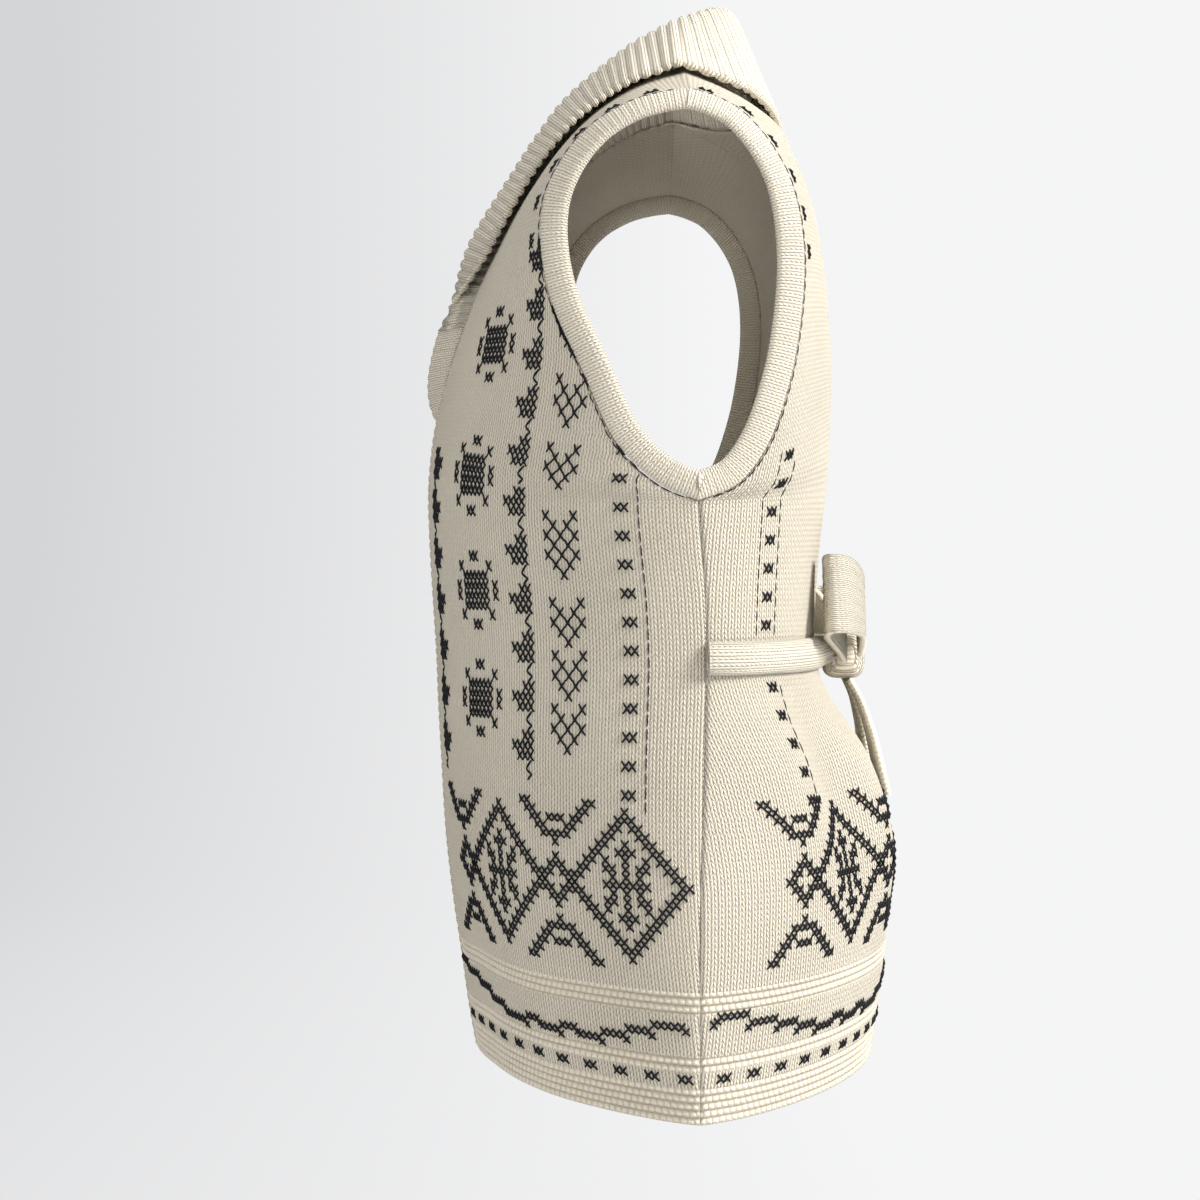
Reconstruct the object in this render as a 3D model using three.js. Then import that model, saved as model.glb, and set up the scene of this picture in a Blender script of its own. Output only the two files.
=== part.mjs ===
// Sleeveless shawl-collar cardigan vest in heavy knit, as it hangs on a wearer.
//
// Millimetres. +Z is up, +X is the wearer's left, -Y is the wearer's front.
// The origin is midway between the two high shoulder points, where the vest is held.
//
// The cloth is one surface, face(front or back) by row and by turn. A row is a level line round
// the body, numbered from the hem (0) through the underarm (10) to the shoulder seam (21). The
// turn is an angle from the centre line (0) to the side seam or armhole edge (90 degrees).

import * as THREE from 'three';
import { mergeVertices } from 'three/addons/utils/BufferGeometryUtils.js';

const { Vector3, MathUtils } = THREE;

// ---------------------------------------------------------------- driving dimensions

const SEAM_GAP = 0.3;           // between two pieces that are sewn together
const PANEL_WALL = 3;           // heavy stocking stitch
const RIB_WALL = 4.5;           // ribbed collar, belt and bow
const HIP_ROW = 0;
const WAIST_ROW = 7;
const UNDERARM_ROW = 10;
const SHOULDER_ROW = 21;
const SIDE_SHARPNESS = 0.85;    // how quickly a row leaves the centre line

const NECK_HALF = 78;           // high shoulder point from the centre line
const FRONT_EDGE_X = 30;        // panel edge beside the front band
const V_BOTTOM_Z = -225;
const V_HEIGHT = 257;
const V_SHAPE = 0.95;
const BACK_NECK_DEPTH_ROWS = 1.55;

const ARMBAND_WIDTH = 18;
const FRONT_BAND_WIDTH = 28.7;
const FRONT_BAND_WALL = 5;
const FRONT_BAND_PROUD = 1.2;   // band face over the panel face
const BREAK_ROW = 14;           // where the front band starts to turn over as a collar

const BELT_LOW_ROW = 6.75;
const BELT_HIGH_ROW = 7.25;
const BELT_THICKNESS = 7;
const KNOT = { halfX: 14, halfY: 15, halfZ: 17, y: 115, z: -392, squareness: 0.6 };

const CREAM = 0xe9e0cc;
const CREAM_RIB = 0xece4d2;

const table = (columns, rows) =>
  rows.map((row) => Object.fromEntries(columns.map((name, i) => [name, row[i]])));

// Centre line of each row, front and back, and how full the row is between centre and side.
const CENTRE_LINE = table(
  ['frontZ', 'frontY', 'backZ', 'backY', 'fullness', 'droop'],
  [
    [-658, -140, -658, 131, 1.55, 2],       // 0 hem
    [-630, -145, -630, 135, 1.5, 2],
    [-595, -150, -595, 140, 1.45, 2],
    [-555, -156, -555, 143, 1.35, 2],       // 3 hip
    [-510, -161, -510, 141, 1.25, 2],
    [-460, -164, -460, 125, 1.15, 2],
    [-425, -166, -425, 105, 1.12, 2],
    [-389, -167.5, -389, 92, 1.1, 2],       // 7 waist, under the belt
    [-350, -170, -350, 93.5, 1.1, 2],
    [-315, -172, -315, 96, 1.1, 2],
    [-282, -173, -282, 99.5, 1.15, 2],      // 10 underarm
    [-258, -171.5, -256, 101.5, 1.3, 2],
    [-233, -168, -228, 102.5, 1.6, 2],
    [-202, -161, -198, 103, 1.85, 2],
    [-168, -149.5, -166, 101.5, 2, 2],
    [-136, -136, -137, 98.5, 2, 2],
    [-104, -119, -109, 94, 2, 2],
    [-76, -101, -83, 88, 2, 2],
    [-48, -82, -57, 79, 2, 1.6],
    [-18, -60, -31, 68, 2, 1.3],
    [12, -32, 3, 34, 2, 1.1],
    [32, 0, 32, 0, 2, 1],                   // 21 shoulder seam
  ],
);

// Rows 0 to 10 end at the side seam, which the front and the back share.
const SIDE_SEAM = table(
  ['x', 'y', 'z'],
  [
    [206, 5, -670],
    [207, 5, -641],
    [207, 5, -604],
    [205, 5, -562],
    [202, 6, -514],
    [197, 8, -462],
    [193, 9, -426],
    [190, 10, -390],
    [189.5, 9, -353],
    [191, 7, -321],
    [193, 5, -294],
  ],
);

// Rows 10 to 21 end at the armhole.
const FRONT_ARMHOLE = table(
  ['x', 'y', 'z'],
  [
    [193, 5, -294],
    [190, -20, -283],
    [184, -46, -257],
    [176, -66, -213],
    [168, -84, -173],
    [163, -92, -136],
    [160, -90, -104],
    [160, -78, -78],
    [162, -60, -58],
    [164, -38, -45],
    [165, -18, -39],
    [166, 0, -36.5],
  ],
);

const BACK_ARMHOLE = table(
  ['x', 'y', 'z'],
  [
    [193, 5, -294],
    [190, 30, -283],
    [185, 49, -257],
    [178, 62, -219],
    [171, 69, -183],
    [166, 72, -148],
    [163, 70, -118],
    [161, 63, -91],
    [161, 50, -68],
    [163, 33, -50],
    [165, 16, -41],
    [166, 0, -36.5],
  ],
);

// Soft folds in the cloth: a ridge is positive, a trough negative.
const FOLDS = table(
  ['face', 'topX', 'bottomX', 'topZ', 'bottomZ', 'halfWidth', 'height'],
  [
    ['back', 96, 84, -402, -570, 25, 9],
    ['back', 142, 130, -402, -545, 19, -8],
    ['back', 174, 176, -405, -520, 13, 3],
    ['back', 50, 40, -402, -525, 17, -6],
    ['back', -48, -36, -402, -530, 18, -6],
    ['back', -92, -88, -402, -560, 24, 8],
    ['back', -138, -132, -402, -550, 20, -7],
    ['back', 74, 52, -300, -376, 16, -3],
    ['back', -70, -46, -292, -376, 18, -3],
    ['front', 92, 84, -500, -690, 26, -3],
    ['front', 148, 156, -470, -690, 24, 3],
    ['front', -86, -92, -490, -690, 28, -3],
    ['front', -150, -146, -480, -690, 24, 3],
  ],
);

// Collar from the break of the lapel up to the high shoulder point, then to the centre back.
// The fold is the rolled top line; the outer edge lies over the panel at edgeRow and edgeX.
const FRONT_COLLAR = table(
  ['row', 'foldX', 'foldY', 'foldZ', 'edgeRow', 'edgeX', 'lift', 'roll'],
  [
    [14, 33, -156, -158, 14, 44, 8, 0],
    [14.5, 33, -152.5, -147, 14.45, 50, 8, 0.35],
    [15, 37, -147.5, -132, 14.85, 68, 7, 0.75],
    [15.5, 40.5, -139.5, -115, 15.25, 80, 6.5, 1],
    [16, 44.5, -128.5, -97, 15.7, 90, 6, 1],
    [17, 50, -110.5, -71, 16.6, 102, 6, 1],
    [18, 55.5, -93, -45, 17.5, 109, 6, 1],
    [19, 60, -71, -18, 18.5, 113, 6, 1],
    [20, 63, -36, 10, 19.7, 113, 6, 1],
    [20.5, 64, -18, 21.5, 20.4, 112, 6, 1],
    [21, 64, -3, 29.5, 21, 110, 6, 1],
  ],
);
const BACK_COLLAR = table(
  ['neckColumn', 'foldX', 'foldY', 'foldZ', 'edgeRow', 'edgeX', 'lift'],
  [
    [3, 53, 17, 40, 19.95, 93, 6],
    [2, 39, 25, 45, 19.6, 72, 6],
    [1, 21, 30, 48.5, 19.3, 40, 5.5],
    [0, 0, 32, 50, 19.1, 0, 5.5],
  ],
);

// Bow and tails: centre line over the back panel, at x and z, moved out from the cloth.
const BOW_LOOP_LEFT = table(
  ['x', 'z', 'out', 'width'],
  [
    [17.2, -389, 22, 18],
    [42, -374, 17, 34],
    [70, -361, 11, 46],
    [94, -353, 9, 52],
    [108, -350, 15, 52],
    [99, -351, 25, 50],
    [74, -357, 31, 44],
    [46, -368, 33, 34],
    [17.2, -384, 33, 20],
  ],
);
const BOW_LOOP_RIGHT = table(
  ['x', 'z', 'out', 'width'],
  [
    [-17.2, -389, 22, 18],
    [-40, -377, 19, 34],
    [-63, -371, 17, 44],
    [-85, -369, 19, 48],
    [-97, -368, 29, 50],
    [-85, -368, 40, 48],
    [-61, -370, 45, 44],
    [-38, -375, 42, 34],
    [-17.2, -384, 33, 20],
  ],
);
const TAIL_LEFT = table(
  ['x', 'z', 'out', 'width'],
  [
    [8.5, -409.6, 20, 14],
    [10, -424, 21, 18],
    [16, -445, 15, 30],
    [22, -466, 10, 38],
    [25, -488, 8, 40],
  ],
);
const TAIL_RIGHT = table(
  ['x', 'z', 'out', 'width'],
  [
    [-8.5, -409.2, 20, 14],
    [-11, -423, 20, 18],
    [-17, -442, 15, 30],
    [-23, -460, 10, 38],
    [-27, -478, 8, 40],
  ],
);

// Rows and columns at which the pieces are faceted.
const FRONT_ROWS = [
  0, 1, 2, 3, 4, 5, 6, 7, 8, 9, 10, 10.5, 11, 11.5, 12, 13, 14, 14.5, 15, 15.5, 16, 17, 18,
  18.5, 19, 19.5, 20, 20.5, 21,
];
const BACK_ROWS = [
  0, 1, 2, 3, 4, 5, 6, BELT_LOW_ROW, WAIST_ROW, BELT_HIGH_ROW, 8, 9, 10, 10.5, 11, 11.5, 12,
  13, 14, 15, 16, 17, 18, 18.5, 19, 19.5, 20, 20.5, 21,
];
const FRONT_COLUMNS = 10;
const BACK_NECK_COLUMNS = 4;
const BACK_SHOULDER_COLUMNS = 6;

// ---------------------------------------------------------------- the cloth surface

const radians = MathUtils.degToRad;
const degrees = MathUtils.radToDeg;
const clamp = MathUtils.clamp;
const smooth = (value, from, to) => MathUtils.smoothstep(value, from, to);

// Catmull-Rom value of one column of a table at a fractional row.
function along(rows, column, position) {
  const last = rows.length - 1;
  const i = clamp(Math.floor(position), 0, last - 1);
  const f = position - i;
  const [a, b, c, d] = [i - 1, i, i + 1, i + 2].map((k) => rows[clamp(k, 0, last)][column]);
  return b + 0.5 * f * (c - a + f * (2 * a - 5 * b + 4 * c - d + f * (3 * (b - c) + d - a)));
}

function rowEdge(face, row) {
  const armhole = face === 'front' ? FRONT_ARMHOLE : BACK_ARMHOLE;
  const [rows, position] = row <= UNDERARM_ROW ? [SIDE_SEAM, row] : [armhole, row - UNDERARM_ROW];
  return new Vector3(
    along(rows, 'x', position),
    along(rows, 'y', position),
    along(rows, 'z', position),
  );
}

// Cloth without its folds. The turn is in degrees, negative on the wearer's right.
function smoothCloth(face, row, turn) {
  const edge = rowEdge(face, row);
  const centreY = along(CENTRE_LINE, `${face}Y`, row);
  const centreZ = along(CENTRE_LINE, `${face}Z`, row);
  const fullness = along(CENTRE_LINE, 'fullness', row);
  const droop = along(CENTRE_LINE, 'droop', row);
  const angle = radians(Math.abs(turn));
  const across = Math.sin(angle) ** SIDE_SHARPNESS;
  const depth = Math.max(Math.cos(angle), 0) ** fullness;
  return new Vector3(
    Math.sign(turn) * edge.x * across,
    edge.y + (centreY - edge.y) * depth,
    centreZ + (edge.z - centreZ) * across ** droop,
  );
}

function normalOf(surface, face, row, turn) {
  const rowStep = 0.05;
  const turnStep = 2;
  const low = Math.max(row - rowStep, HIP_ROW);
  const high = Math.min(row + rowStep, SHOULDER_ROW);
  const left = Math.max(turn - turnStep, -90);
  const right = Math.min(turn + turnStep, 90);
  const up = surface(face, high, turn).sub(surface(face, low, turn));
  const along = surface(face, row, right).sub(surface(face, row, left));
  const normal = face === 'front' ? along.cross(up) : up.cross(along);
  return normal.normalize();
}

function foldHeight(face, x, z) {
  let height = 0;
  for (const fold of FOLDS) {
    if (fold.face !== face) continue;
    const fraction = (z - fold.topZ) / (fold.bottomZ - fold.topZ);
    const window = Math.sin(Math.PI * clamp(fraction, 0, 1)) ** 0.8;
    const distance = x - MathUtils.lerp(fold.topX, fold.bottomX, fraction);
    height += fold.height * window * Math.exp(-((distance / fold.halfWidth) ** 2));
  }
  return height;
}

function cloth(face, row, turn) {
  const point = smoothCloth(face, row, turn);
  const height = foldHeight(face, point.x, point.z);
  if (height !== 0) point.addScaledVector(normalOf(smoothCloth, face, row, turn), height);
  point.y += (face === 'front' ? -0.5 : 0.5) * SEAM_GAP;
  return point;
}

const clothNormal = (face, row, turn) => normalOf(cloth, face, row, turn);

function turnAtX(face, row, x) {
  const across = clamp(Math.abs(x) / rowEdge(face, row).x, 0, 1);
  return Math.sign(x) * degrees(Math.asin(across ** (1 / SIDE_SHARPNESS)));
}

// Point and normal of the cloth at a given x and z.
function clothAt(face, x, z) {
  let low = HIP_ROW;
  let high = SHOULDER_ROW;
  for (let i = 0; i < 30; i += 1) {
    const middle = (low + high) / 2;
    if (smoothCloth(face, middle, turnAtX(face, middle, x)).z < z) low = middle;
    else high = middle;
  }
  const turn = turnAtX(face, low, x);
  return { point: cloth(face, low, turn), normal: clothNormal(face, low, turn) };
}

function frontEdgeX(row) {
  const rise = (along(CENTRE_LINE, 'frontZ', row) - V_BOTTOM_Z) / V_HEIGHT;
  return FRONT_EDGE_X + (NECK_HALF - FRONT_EDGE_X) * Math.max(rise, 0) ** V_SHAPE;
}

// ---------------------------------------------------------------- meshes from grids

function meshFrom(name, points, triangles, colour) {
  const geometry = new THREE.BufferGeometry().setFromPoints(points);
  geometry.setIndex(triangles);
  const position = geometry.getAttribute('position');
  const corner = [new Vector3(), new Vector3(), new Vector3()];
  let volume = 0;
  for (let i = 0; i < triangles.length; i += 3) {
    corner.forEach((v, k) => v.fromBufferAttribute(position, triangles[i + k]));
    volume += corner[0].dot(corner[1].clone().cross(corner[2]));
  }
  if (volume < 0) geometry.setIndex([...triangles].reverse());
  const material = new THREE.MeshStandardMaterial({ color: colour, roughness: 0.95, metalness: 0 });
  const mesh = new THREE.Mesh(mergeVertices(geometry, 1e-5), material);
  mesh.name = name;
  mesh.geometry.computeVertexNormals();
  return mesh;
}

// A wall between two grids of points, closed by a rim round its four sides.
function wall(name, outer, inner, colour) {
  const rows = outer.length;
  const columns = outer[0].length;
  const points = [...outer.flat(), ...inner.flat()];
  const out = (i, j) => i * columns + j;
  const back = (i, j) => rows * columns + out(i, j);
  const triangles = [];
  const quad = (a, b, c, d) => triangles.push(a, b, c, a, c, d);
  for (let i = 0; i < rows - 1; i += 1) {
    for (let j = 0; j < columns - 1; j += 1) {
      quad(out(i, j), out(i, j + 1), out(i + 1, j + 1), out(i + 1, j));
      quad(back(i, j), back(i + 1, j), back(i + 1, j + 1), back(i, j + 1));
    }
    quad(out(i, 0), out(i + 1, 0), back(i + 1, 0), back(i, 0));
    quad(out(i + 1, columns - 1), out(i, columns - 1), back(i, columns - 1), back(i + 1, columns - 1));
  }
  for (let j = 0; j < columns - 1; j += 1) {
    quad(out(0, j + 1), out(0, j), back(0, j), back(0, j + 1));
    quad(out(rows - 1, j), out(rows - 1, j + 1), back(rows - 1, j + 1), back(rows - 1, j));
  }
  return meshFrom(name, points, triangles, colour);
}

// A closed section carried along stations, either round a ring or between two end caps.
function sweep(name, sections, closed, colour) {
  const stations = sections.length;
  const sides = sections[0].length;
  const triangles = [];
  const at = (i, j) => (i % stations) * sides + (j % sides);
  for (let i = 0; i < (closed ? stations : stations - 1); i += 1) {
    for (let j = 0; j < sides; j += 1) {
      triangles.push(at(i, j), at(i, j + 1), at(i + 1, j + 1), at(i, j), at(i + 1, j + 1), at(i + 1, j));
    }
  }
  for (let j = 1; !closed && j < sides - 1; j += 1) {
    triangles.push(at(0, 0), at(0, j + 1), at(0, j));
    triangles.push(at(stations - 1, 0), at(stations - 1, j), at(stations - 1, j + 1));
  }
  return meshFrom(name, sections.flat(), triangles, colour);
}

const mirrored = (point) => new Vector3(-point.x, point.y, point.z);
const mirroredGrid = (grid) => grid.map((row) => row.map(mirrored));
const moved = (point, direction, distance) => point.clone().addScaledVector(direction, distance);

function sided(name, outer, inner, colour) {
  return [
    wall(`${name}_left`, outer, inner, colour),
    wall(`${name}_right`, mirroredGrid(outer), mirroredGrid(inner), colour),
  ];
}

// ---------------------------------------------------------------- armhole bands

// Lean of the band away from the body: flat under the arm, spread over the shoulder.
const bandLean = (z) => 0.3 * smooth(z, -290, -205) + 0.62 * smooth(z, -150, -36);

// Stations round the left armhole, up the front edge and down the back edge.
function armholeStations() {
  const front = FRONT_ROWS.filter((row) => row > UNDERARM_ROW && row < SHOULDER_ROW);
  const back = BACK_ROWS.filter((row) => row > UNDERARM_ROW && row < SHOULDER_ROW).reverse();
  const ring = [
    { face: 'both', row: UNDERARM_ROW, edge: rowEdge('front', UNDERARM_ROW) },
    ...front.map((row) => ({ face: 'front', row, edge: cloth('front', row, 90) })),
    { face: 'both', row: SHOULDER_ROW, edge: rowEdge('front', SHOULDER_ROW) },
    ...back.map((row) => ({ face: 'back', row, edge: cloth('back', row, 90) })),
  ];
  ring.forEach((station, i) => {
    const next = ring[(i + 1) % ring.length].edge;
    const previous = ring[(i + ring.length - 1) % ring.length].edge;
    const tangent = station.face === 'both' ? new Vector3(0, 1, 0) : next.clone().sub(previous);
    if (station.row === UNDERARM_ROW) tangent.negate();
    const inward = new Vector3(0, tangent.z, -tangent.y).normalize();
    station.across = inward.setX(bandLean(station.edge.z)).normalize();
    station.normal = station.across.clone().cross(tangent).normalize();
  });
  return ring;
}

const ARMHOLE = armholeStations();

function armholeNormal(face, row) {
  const isHere = (s) => s.row === row && (s.face === face || s.face === 'both');
  return ARMHOLE.find(isHere).normal;
}

function armholeBands() {
  const w = ARMBAND_WIDTH;
  const clear = 1.5 * SEAM_GAP; // the seam twists, so its rims are a little further apart
  const section = table(
    ['across', 'out'],
    [
      [clear, 0.9],
      [3, 1.7],
      [w - 3, 1.7],
      [w, -0.4],
      [w, -2.6],
      [w - 3, -4.5],
      [3, -4.5],
      [clear, -3.7],
    ],
  );
  const left = ARMHOLE.map(({ edge, across, normal }) =>
    section.map((p) => moved(moved(edge, across, p.across), normal, p.out)));
  return [
    sweep('armhole_band_left', left, true, CREAM_RIB),
    sweep('armhole_band_right', mirroredGrid(left), true, CREAM_RIB),
  ];
}

// ---------------------------------------------------------------- panels

// Normal used for the wall, so that the rims of neighbouring pieces are parallel at the seams.
function wallNormal(face, row, turn) {
  const side = Math.sign(turn) || 1;
  const isEdge = Math.abs(turn) > 89.99;
  if (isEdge && row < UNDERARM_ROW) return new Vector3(side, 0, 0);
  if (isEdge) {
    const normal = armholeNormal(face, row);
    return new Vector3(side * normal.x, normal.y, normal.z);
  }
  const normal = clothNormal(face, row, turn);
  if (row === SHOULDER_ROW) normal.setY(0).normalize();
  return normal;
}

function panelGrids(face, cells) {
  const outer = cells.map((line) => line.map(([row, turn]) => cloth(face, row, turn)));
  const inner = cells.map((line, i) => line.map(([row, turn], j) =>
    moved(outer[i][j], wallNormal(face, row, turn), -PANEL_WALL)));
  return [outer, inner];
}

// Turns from a start to the side edge that divide a row into cells of equal length.
function evenTurns(face, row, start, cells) {
  const samples = 60;
  const turns = Array.from({ length: samples + 1 }, (_, i) => start + ((90 - start) * i) / samples);
  const lengths = [0];
  for (let i = 1; i <= samples; i += 1) {
    const step = smoothCloth(face, row, turns[i]).distanceTo(smoothCloth(face, row, turns[i - 1]));
    lengths.push(lengths[i - 1] + step);
  }
  return Array.from({ length: cells + 1 }, (_, j) => {
    const target = (lengths[samples] * j) / cells;
    const i = clamp(lengths.findIndex((length) => length >= target), 1, samples);
    const share = (target - lengths[i - 1]) / (lengths[i] - lengths[i - 1]);
    return j === cells ? 90 : MathUtils.lerp(turns[i - 1], turns[i], share);
  });
}

function frontPanels() {
  const cells = FRONT_ROWS.map((row) => {
    const start = turnAtX('front', row, frontEdgeX(row));
    return evenTurns('front', row, start, FRONT_COLUMNS).map((turn) => [row, turn]);
  });
  const [outer, inner] = panelGrids('front', cells);
  const rightCells = cells.map((line) => line.map(([row, turn]) => [row, -turn]));
  const [rightOuter, rightInner] = panelGrids('front', rightCells);
  return [
    wall('front_left', outer, inner, CREAM),
    wall('front_right', rightOuter, rightInner, CREAM),
  ];
}

const NECK_TURN = turnAtX('back', SHOULDER_ROW, NECK_HALF);

// Turns of the back panel's columns, from the centre line to the left edge.
const NECK_TURNS = Array.from(
  { length: BACK_NECK_COLUMNS },
  (_, j) => (NECK_TURN * j) / BACK_NECK_COLUMNS,
);
const backHalfTurns = (row) =>
  [...NECK_TURNS, ...evenTurns('back', row, NECK_TURN, BACK_SHOULDER_COLUMNS)];

// Highest row of the back panel at a turn: the shoulder, or the hollow of the back neck.
function backTopRow(turn) {
  const x = rowEdge('back', SHOULDER_ROW).x * Math.sin(radians(Math.abs(turn))) ** SIDE_SHARPNESS;
  const across = Math.min(x / NECK_HALF, 1);
  return SHOULDER_ROW - BACK_NECK_DEPTH_ROWS * Math.sqrt(1 - across ** 2);
}

const BACK_NECK_FROM_ROW = 16;  // rows above this close up under the neck hollow

function backPanel() {
  const cells = BACK_ROWS.map((row) => {
    const half = backHalfTurns(row);
    const turns = [...half.slice(1).reverse().map((turn) => -turn), ...half];
    const share = Math.max(row - BACK_NECK_FROM_ROW, 0) / (SHOULDER_ROW - BACK_NECK_FROM_ROW);
    return turns.map((turn) => [row - share * (SHOULDER_ROW - backTopRow(turn)), turn]);
  });
  const [outer, inner] = panelGrids('back', cells);
  return wall('back_panel', outer, inner, CREAM);
}

// ---------------------------------------------------------------- front bands

// The band turns forward as it climbs the V.
const bandForward = (row) => radians(38) * (1 - Math.exp(-Math.max(row - 12.1, 0) / 0.75));

function bandPoint(row, width) {
  const angle = bandForward(row);
  const x = frontEdgeX(row) - width * Math.cos(angle);
  const point = cloth('front', row, turnAtX('front', row, x));
  point.y -= width * Math.sin(angle);
  return point;
}

function bandNormal(row) {
  const across = bandPoint(row, FRONT_BAND_WIDTH).sub(bandPoint(row, 0));
  const step = 0.2;
  const up = bandPoint(row + step, 0).sub(bandPoint(Math.max(row - step, 0), 0));
  return up.cross(across).normalize();
}

function frontBands() {
  const breakGap = 0.02;        // rows: leaves a seam gap under the collar
  const rows = [...FRONT_ROWS.filter((row) => row < BREAK_ROW), BREAK_ROW - breakGap];
  const widths = [1.5 * SEAM_GAP, 0.35 * FRONT_BAND_WIDTH, 0.7 * FRONT_BAND_WIDTH, FRONT_BAND_WIDTH];
  const centre = rows.map((row) => widths.map((width) => bandPoint(row, width)));
  const face = centre.map((line, i) =>
    line.map((point) => moved(point, bandNormal(rows[i]), FRONT_BAND_PROUD)));
  const lining = centre.map((line, i) =>
    line.map((point) => moved(point, bandNormal(rows[i]), FRONT_BAND_PROUD - FRONT_BAND_WALL)));
  return sided('front_band', face, lining, CREAM_RIB);
}

// ---------------------------------------------------------------- shawl collar

// Seven points from the neck seam over the rolled fold to the outer edge.
function collarSection(seam, away, panelNormal, along, fold, edge) {
  const stand = fold.clone().sub(seam).normalize();
  const thickness = along.clone().cross(stand).normalize();
  const clear = SEAM_GAP + 0.5 * RIB_WALL * Math.abs(thickness.dot(away));
  const base = moved(moved(seam, away, clear), panelNormal, -0.5 * PANEL_WALL);
  const up = fold.clone().sub(base.clone().add(edge).multiplyScalar(0.5)).normalize();
  const over = edge.clone().sub(base);
  over.addScaledVector(up, -over.dot(up)).normalize();
  const reach = Math.min(6, 0.35 * edge.distanceTo(base));
  const rise = 0.65 * reach;
  const before = moved(moved(fold, over, -reach), up, -rise);
  const after = moved(moved(fold, over, reach), up, -rise);
  const bulge = 4;
  return [
    base,
    base.clone().lerp(before, 0.5),
    before,
    fold,
    after,
    moved(after.clone().lerp(edge, 0.5), up, bulge),
    edge,
  ];
}

function neckFrame(point, normal, along) {
  const away = normal.clone().cross(along).normalize();
  return { point, normal, along, away };
}

// Left half of the collar, from the break of the lapel to the centre back.
function collarHalf() {
  const sections = FRONT_COLLAR.map((station) => {
    const { row } = station;
    const seamAt = (r) => cloth('front', r, turnAtX('front', r, frontEdgeX(r)));
    const step = 0.1;
    const direction = seamAt(Math.min(row + step, SHOULDER_ROW)).sub(seamAt(row - step)).normalize();
    const normal = clothNormal('front', row, turnAtX('front', row, frontEdgeX(row)));
    if (row === SHOULDER_ROW) normal.setY(0).normalize();
    const seam = neckFrame(seamAt(row), normal, direction);
    if (seam.away.x > 0) seam.away.negate();
    const edgeTurn = turnAtX('front', station.edgeRow, station.edgeX);
    const edge = moved(
      cloth('front', station.edgeRow, edgeTurn),
      clothNormal('front', station.edgeRow, edgeTurn),
      station.lift,
    );
    const fold = new Vector3(station.foldX, station.foldY, station.foldZ);
    const rolled = collarSection(seam.point, seam.away, seam.normal, direction, fold, edge);
    const flatNormal = bandNormal(row);
    const flat = rolled.map((_, i) => moved(
      bandPoint(row, MathUtils.lerp(SEAM_GAP, FRONT_BAND_WIDTH, i / (rolled.length - 1))),
      flatNormal,
      FRONT_BAND_PROUD - 0.5 * RIB_WALL,
    ));
    return flat.map((point, i) => point.lerp(rolled[i], station.roll));
  });
  BACK_COLLAR.forEach((station) => {
    const turn = NECK_TURNS[station.neckColumn];
    const row = backTopRow(turn);
    const seamAt = (u) => cloth('back', backTopRow(u), u);
    const step = 1.5;
    const direction = seamAt(turn - step).sub(seamAt(turn + step)).normalize();
    const seam = neckFrame(seamAt(turn), clothNormal('back', row, turn), direction);
    if (seam.away.z < 0) seam.away.negate();
    const edgeTurn = turnAtX('back', station.edgeRow, station.edgeX);
    const edge = moved(
      cloth('back', station.edgeRow, edgeTurn),
      clothNormal('back', station.edgeRow, edgeTurn),
      station.lift,
    );
    const fold = new Vector3(station.foldX, station.foldY, station.foldZ);
    sections.push(collarSection(seam.point, seam.away, seam.normal, direction, fold, edge));
  });
  return sections;
}

function gridNormals(grid) {
  const rows = grid.length;
  const columns = grid[0].length;
  return grid.map((line, i) => line.map((_, j) => {
    const along = grid[Math.min(i + 1, rows - 1)][j].clone().sub(grid[Math.max(i - 1, 0)][j]);
    const across = line[Math.min(j + 1, columns - 1)].clone().sub(line[Math.max(j - 1, 0)]);
    return across.cross(along).normalize();
  }));
}

function thickened(name, middle, thickness, colour) {
  const normals = gridNormals(middle);
  const offset = (distance) => middle.map((line, i) =>
    line.map((point, j) => moved(point, normals[i][j], distance)));
  return wall(name, offset(0.5 * thickness), offset(-0.5 * thickness), colour);
}

function shawlCollar() {
  const left = collarHalf();
  const right = mirroredGrid(left.slice(0, -1)).reverse();
  return thickened('shawl_collar', [...left, ...right], RIB_WALL, CREAM_RIB);
}

// ---------------------------------------------------------------- belt, knot, bow and tails

// The belt lies on the back waist and rises off it near the knot.
function beltHalf() {
  const rise = (x) => 10 * (1 - smooth(Math.abs(x), KNOT.halfX, 75)) ** 2;
  const endTurn = turnAtX('back', WAIST_ROW, KNOT.halfX + SEAM_GAP);
  const clothTurns = (row) => backHalfTurns(row).filter((turn) => turn > endTurn + 2).reverse();
  const stations = clothTurns(WAIST_ROW).length + 1;
  const section = table(
    ['row', 'out'],
    [
      [BELT_LOW_ROW, 0.5],
      [WAIST_ROW, 0.5],
      [BELT_HIGH_ROW, 0.5],
      [BELT_HIGH_ROW + 0.03, 0.45 * BELT_THICKNESS],
      [BELT_HIGH_ROW - 0.06, 0.8 * BELT_THICKNESS],
      [WAIST_ROW, BELT_THICKNESS],
      [BELT_LOW_ROW + 0.06, 0.8 * BELT_THICKNESS],
      [BELT_LOW_ROW - 0.03, 0.45 * BELT_THICKNESS],
    ],
  );
  return Array.from({ length: stations }, (_, i) => section.map(({ row, out }) => {
    const turn = i < stations - 1 ? clothTurns(row)[i] : endTurn;
    const point = cloth('back', row, turn);
    return moved(point, clothNormal('back', row, turn), out + rise(point.x));
  }));
}

function belts() {
  const left = beltHalf();
  return [
    sweep('belt_left', left, false, CREAM_RIB),
    sweep('belt_right', mirroredGrid(left), false, CREAM_RIB),
  ];
}

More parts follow.
